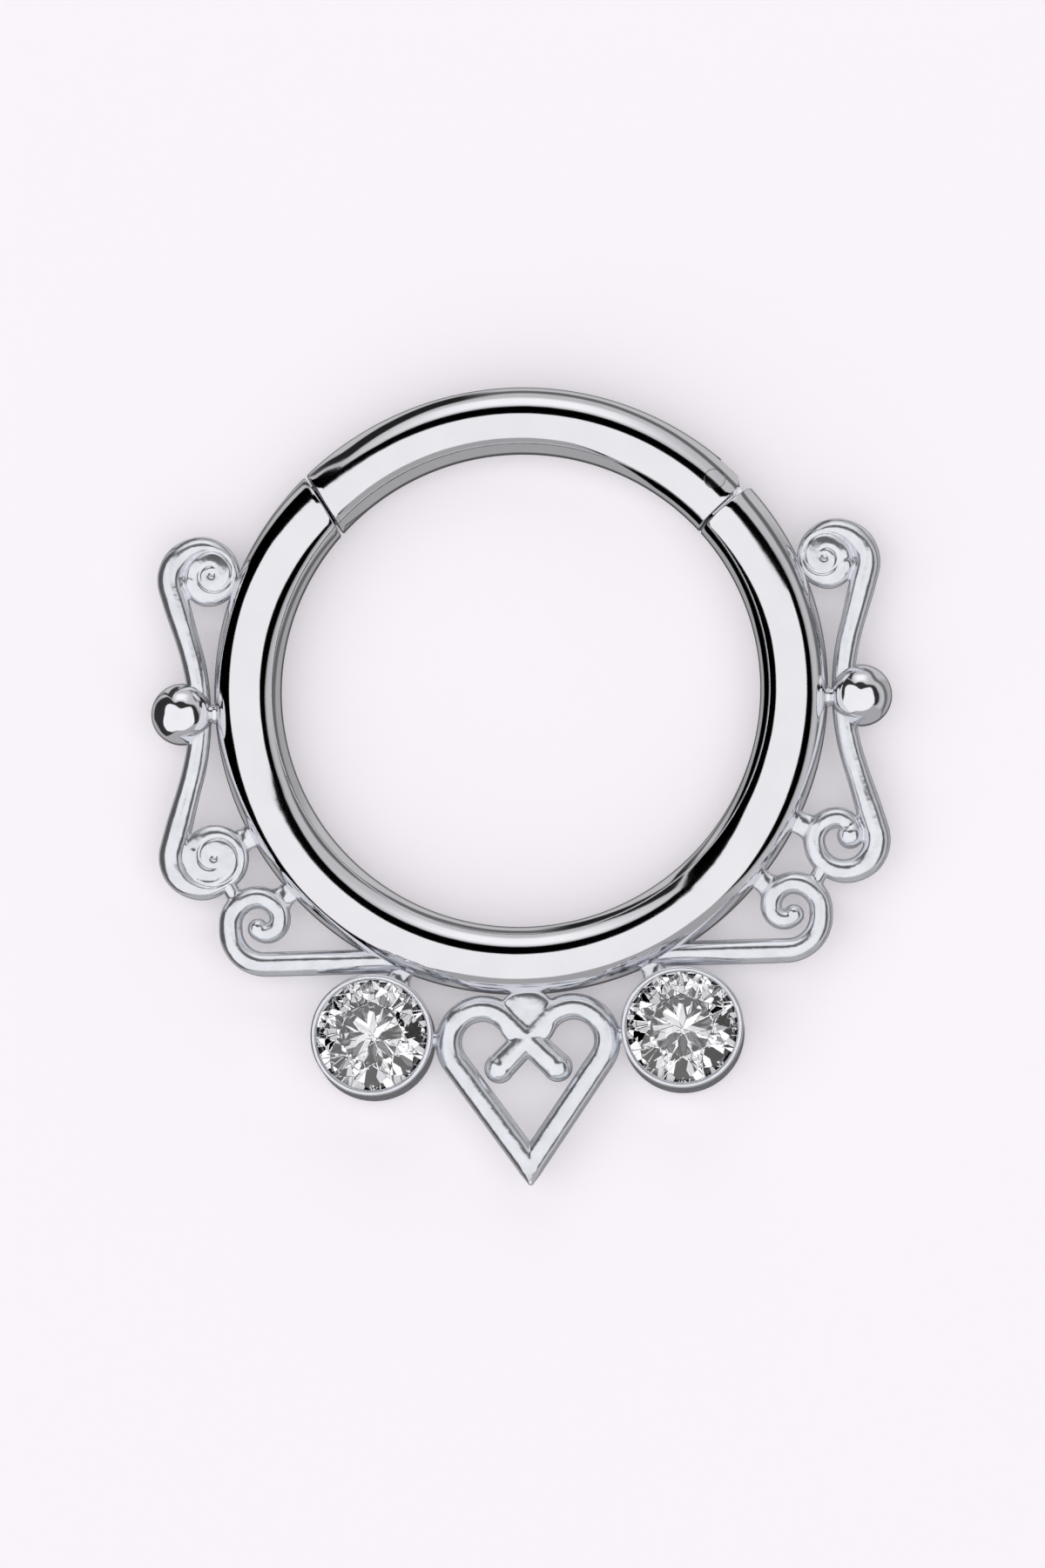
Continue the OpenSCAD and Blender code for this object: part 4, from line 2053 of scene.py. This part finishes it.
@dataclass(frozen=True)
class Studio:
    """The plain floor, the soft light from all round and the camera.

    The metal mirrors a pale panel overhead with a dark ring round it, a strip of light behind the ring and
    grey walls. The stones show a spangle of small lights instead, which is what makes them sparkle.

    Attributes:
        distance: Distance of the camera, in metres.
        frame_width: Width of the picture at the ring, in metres.
        azimuth: How far the camera stands round to the right, in degrees.
        elevation: How high it stands.
        roll: How far it is rolled.
        sensor: Width of its sensor, in millimetres.
        clip: Its nearest and farthest distance, in metres.
        floor_size: Width of the floor, in metres.
        floor_colour: Its colour.
        floor_glow: How much it shines by itself, because the photo's floor is nearly white.
        backdrop: What the camera sees past the floor.
        light_colour: Colour of all the light.
        spread_gain: How much more of it falls on the floor than shows in the metal.
        base: Level of the grey walls.
        panel: Level of the panel overhead.
        panel_soft: Over what angle its edge fades.
        shade: Level of the dark ring round it.
        shade_soft: Over what angle the ring's edges fade.
        shade_ring: The dark ring's course. A row has a bearing, the tilt of the ring's inner edge there, the
            tilt of its outer edge and the tilt of a thin line outside it, all in degrees.
        halo: Level of a light band past the dark ring's outer edge.
        halo_span: Where it lies, in degrees past that edge.
        halo_side: The bearings that it covers.
        strip: Level of the strip of light behind the ring.
        strip_span: The tilts that it covers.
        strip_side: The bearings that it covers.
        streak: Level of the bright streak in it.
        streak_span: The tilts that the streak covers.
        streak_width: The stretch along X that it covers.
        line: Level of the thin line.
        line_span: Where it lies, in degrees past the tilt that shade_ring gives it.
        seam_line: Level of its darker stretch, which shows beside the latch.
        seam_line_span: Where that lies.
        seam_line_side: The bearings that it covers.
        low: Level below the ring, which draws thin dark outlines round every wire.
        low_from: The tilt at which that starts.
        low_soft: Over what angle it fades.
        spangle_scale: How fine the lights in the stones are.
        spangles: Rows of a noise's threshold and the level that is added above it.
        spangle_edge: How soft their edges are.
        zenith: Half the angle of the dark cone overhead that the stones show.
    """

    distance: float = 0.13
    frame_width: float = 0.0185
    azimuth: float = 17.0
    elevation: float = 81.0
    roll: float = 1.2
    sensor: float = 36.0
    clip: Pair = (0.005, 20.0)
    floor_size: float = 4.0
    floor_colour: Colour = (0.86, 0.82, 0.868)
    floor_glow: Colour = (0.247, 0.245, 0.25)
    backdrop: Colour = (0.947, 0.905, 0.956)
    light_colour: Colour = (1.0, 0.985, 1.0)
    spread_gain: float = 0.1
    base: float = 0.44
    panel: float = 1.05
    panel_soft: float = 4.0
    shade: float = 0.0
    shade_soft: float = 5.0
    shade_ring: tuple[tuple[float, float, float, float], ...] = (
        (0, 46, 70, 96), (10, 45, 65, 92), (22, 44, 62, 86), (32, 41, 57, 80), (38, 32, 51, 74),
        (46, 25, 45, 70), (56, 19, 39, 76), (66, 16, 38, 88), (78, 14, 41, 96), (92, 14, 42, 98),
        (106, 16, 42, 92), (116, 20, 41, 76), (122, 28, 46, 66), (127, 34, 84, 100), (134, 45, 96, 120),
        (142, 58, 108, 130), (152, 63, 120, 150), (180, 63, 126, 150), (190, 69, 120, 150),
        (200, 78, 118, 150), (212, 88, 124, 150), (226, 92, 124, 150), (240, 86, 96, 150),
        (252, 72, 72, 150), (315, 66, 66, 150), (325, 64, 76, 110), (335, 57, 78, 104), (350, 49, 74, 100),
        (360, 46, 70, 96))
    halo: float = 0.62
    halo_span: Span = Span(5, 24, 10)
    halo_side: Span = Span(-40, 50, 12)
    strip: float = 0.62
    strip_span: Span = Span(36, 136, 6)
    strip_side: Span = Span(40, 138, 12)
    streak: float = 1.15
    streak_span: Span = Span(47, 76, 14)
    streak_width: Span = Span(-0.3, 0.3, 0.4)
    line: float = 0.16
    line_span: Span = Span(2, 20, 8)
    seam_line: float = 0.02
    seam_line_span: Span = Span(-4, 32, 7)
    seam_line_side: Span = Span(98, 128, 8)
    low: float = 0.1
    low_from: float = 148.0
    low_soft: float = 16.0
    spangle_scale: float = 3.2
    spangles: tuple[Pair, ...] = ((0.46, 0.8), (0.58, 0.6))
    spangle_edge: float = 0.02
    zenith: float = 13.0

    def floor(self) -> bpy.types.Object:
        """Lays the pale surface under the ring.

        Returns:
            The floor, which neither the metal nor the stones mirror.
        """
        shape = bmesh.new()
        bmesh.ops.create_grid(shape, x_segments=1, y_segments=1, size=self.floor_size / 2)
        made = Workshop.link("floor", Workshop.baked("floor", shape))
        finish = bpy.data.materials.new("pale_floor")
        finish.use_nodes = True
        kit = NodeKit(finish.node_tree)
        shader = kit.node("ShaderNodeBsdfPrincipled", None, {
            "Base Color": (*self.floor_colour, 1),
            "Roughness": 0.9,
            "Specular IOR Level": 0.0,
            "Emission Color": (*self.floor_glow, 1),
            "Emission Strength": 1.0,
        })
        kit.node("ShaderNodeOutputMaterial", None, {"Surface": shader.outputs[0]})
        made.data.materials.append(finish)
        made.visible_glossy = False
        made.visible_transmission = False
        made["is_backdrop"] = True
        return made

    def walls(self, kit: NodeKit, ray: Direction) -> Term:
        """Sets out the studio that the metal mirrors.

        Args:
            kit: The world's tree.
            ray: The direction that is looked in.

        Returns:
            How bright it is there.
        """
        stops = [(row[0] / 360, tuple(tilt / 180 for tilt in row[1:])) for row in self.shade_ring]
        course = kit.node("ShaderNodeValToRGB", {"stops": stops}, {0: ray.turn})
        edges = kit.node("ShaderNodeSeparateColor", None, {"Color": course.outputs[0]})
        inner, outer, line = (ray.tilt - Term(kit, edges.outputs[i]) * 180 for i in range(3))
        behind = ray.bearing.within(self.strip_side)
        layers = (
            (outer.within(self.halo_span) * ray.bearing.within(self.halo_side), self.halo),
            (ray.tilt.within(self.strip_span) * behind, self.strip),
            (ray.tilt.within(self.streak_span) * behind * ray.x.within(self.streak_width), self.streak),
            (line.within(self.line_span), self.line),
            (line.within(self.seam_line_span) * ray.bearing.within(self.seam_line_side), self.seam_line),
            (inner.above(0, self.shade_soft) * (1 - outer.above(0, self.shade_soft)), self.shade),
            (1 - inner.above(0, self.panel_soft), self.panel),
            (ray.tilt.above(self.low_from, self.low_soft), self.low),
        )
        level = kit.math("ADD", self.base, 0.0)
        for mask, value in layers:
            level = level + mask * (value - level)
        return level

    def sparkle(self, kit: NodeKit, ray: Direction) -> Term:
        """Sets out the small lights that the stones show.

        Args:
            kit: The world's tree.
            ray: The direction that is looked in.

        Returns:
            How bright it is there.
        """
        cells = kit.noise(ray.vector, self.spangle_scale, 0.0)
        lights = sum(cells.above(edge, self.spangle_edge) * level for edge, level in self.spangles)
        return lights * ray.tilt.above(self.zenith, 1)

    def light(self) -> None:
        """Lights the ring from all round with the world's own light."""
        world = bpy.data.worlds.new("studio")
        bpy.context.scene.world = world
        world.use_nodes = True
        kit = NodeKit(world.node_tree)
        ray = Direction.read(kit)
        kind = kit.node("ShaderNodeLightPath")
        through = Term(kit, kind.outputs["Is Transmission Ray"])
        spread = Term(kit, kind.outputs["Is Diffuse Ray"])
        level = self.walls(kit, ray)
        level = level + through * (self.sparkle(kit, ray) - level)
        level = level * (1 + spread * self.spread_gain)
        glow = kit.node("ShaderNodeBackground", None, {"Color": (*self.light_colour, 1), "Strength": level})
        seen = kit.node("ShaderNodeBackground", None, {"Color": (*self.backdrop, 1), "Strength": 1.0})
        mixed = kit.node("ShaderNodeMixShader", None,
                         {0: kind.outputs["Is Camera Ray"], 1: glow.outputs[0], 2: seen.outputs[0]})
        kit.node("ShaderNodeOutputWorld", None, {"Surface": mixed.outputs[0]})

    def camera(self, target: Vector) -> bpy.types.Object:
        """Sets up the camera at the photograph's viewing angle.

        Args:
            target: What it looks at.

        Returns:
            The camera.
        """
        turn, tilt = math.radians(self.azimuth), math.radians(self.elevation)
        back = Vector((math.sin(turn) * math.cos(tilt), -math.cos(turn) * math.cos(tilt), math.sin(tilt)))
        up = Vector((0, 1, 0))
        up = (up - back * up.dot(back)).normalized()
        up = Matrix.Rotation(math.radians(-self.roll), 3, back) @ up
        right = up.cross(back)
        data = bpy.data.cameras.new("camera")
        data.sensor_fit = "HORIZONTAL"
        data.sensor_width = self.sensor
        data.lens = self.sensor * self.distance / self.frame_width
        data.clip_start, data.clip_end = self.clip
        made = bpy.data.objects.new("camera", data)
        bpy.context.scene.collection.objects.link(made)
        turned = Matrix((right, up, back)).transposed().to_4x4()
        made.matrix_world = Matrix.Translation(target + back * self.distance) @ turned
        bpy.context.scene.camera = made
        return made

    def build(self, low: Vector, high: Vector) -> None:
        """Builds the studio round the ring.

        Args:
            low: The lowest corner of the ring's box.
            high: Its highest corner.
        """
        view = bpy.context.scene.view_settings
        view.view_transform = "Standard"
        view.look = "None"
        self.floor()
        self.light()
        self.camera((low + high) / 2)


def main() -> None:
    """Builds the ring piece by piece, then the studio round the box of the CAD model."""
    logging.basicConfig(level=logging.INFO, format="%(message)s")
    cad_low, cad_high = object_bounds()
    sizes = RingSizes()
    tree = WireTree()
    finishes = Finishes.made()
    wire = BandWire(sizes, tree, finishes.band)
    casting = Casting(sizes, tree, finishes.cast)
    RingBand(wire).piece(finishes)
    HingedSegment(wire).piece(finishes)
    HingePin(wire).piece(finishes)
    for side in Side:
        lower = Curl.OPEN if side is Side.RIGHT else Curl.CLOSED
        SideScrolls(casting, side, Curl.CLOSED, lower).piece()
        CornerScroll(casting, side).piece()
        Bead(sizes, side).piece(finishes)
        StoneSetting(casting, side).pieces(finishes)
    Heart(casting).piece()
    Studio().build(cad_low, cad_high)


if __name__ == "__main__":
    main()
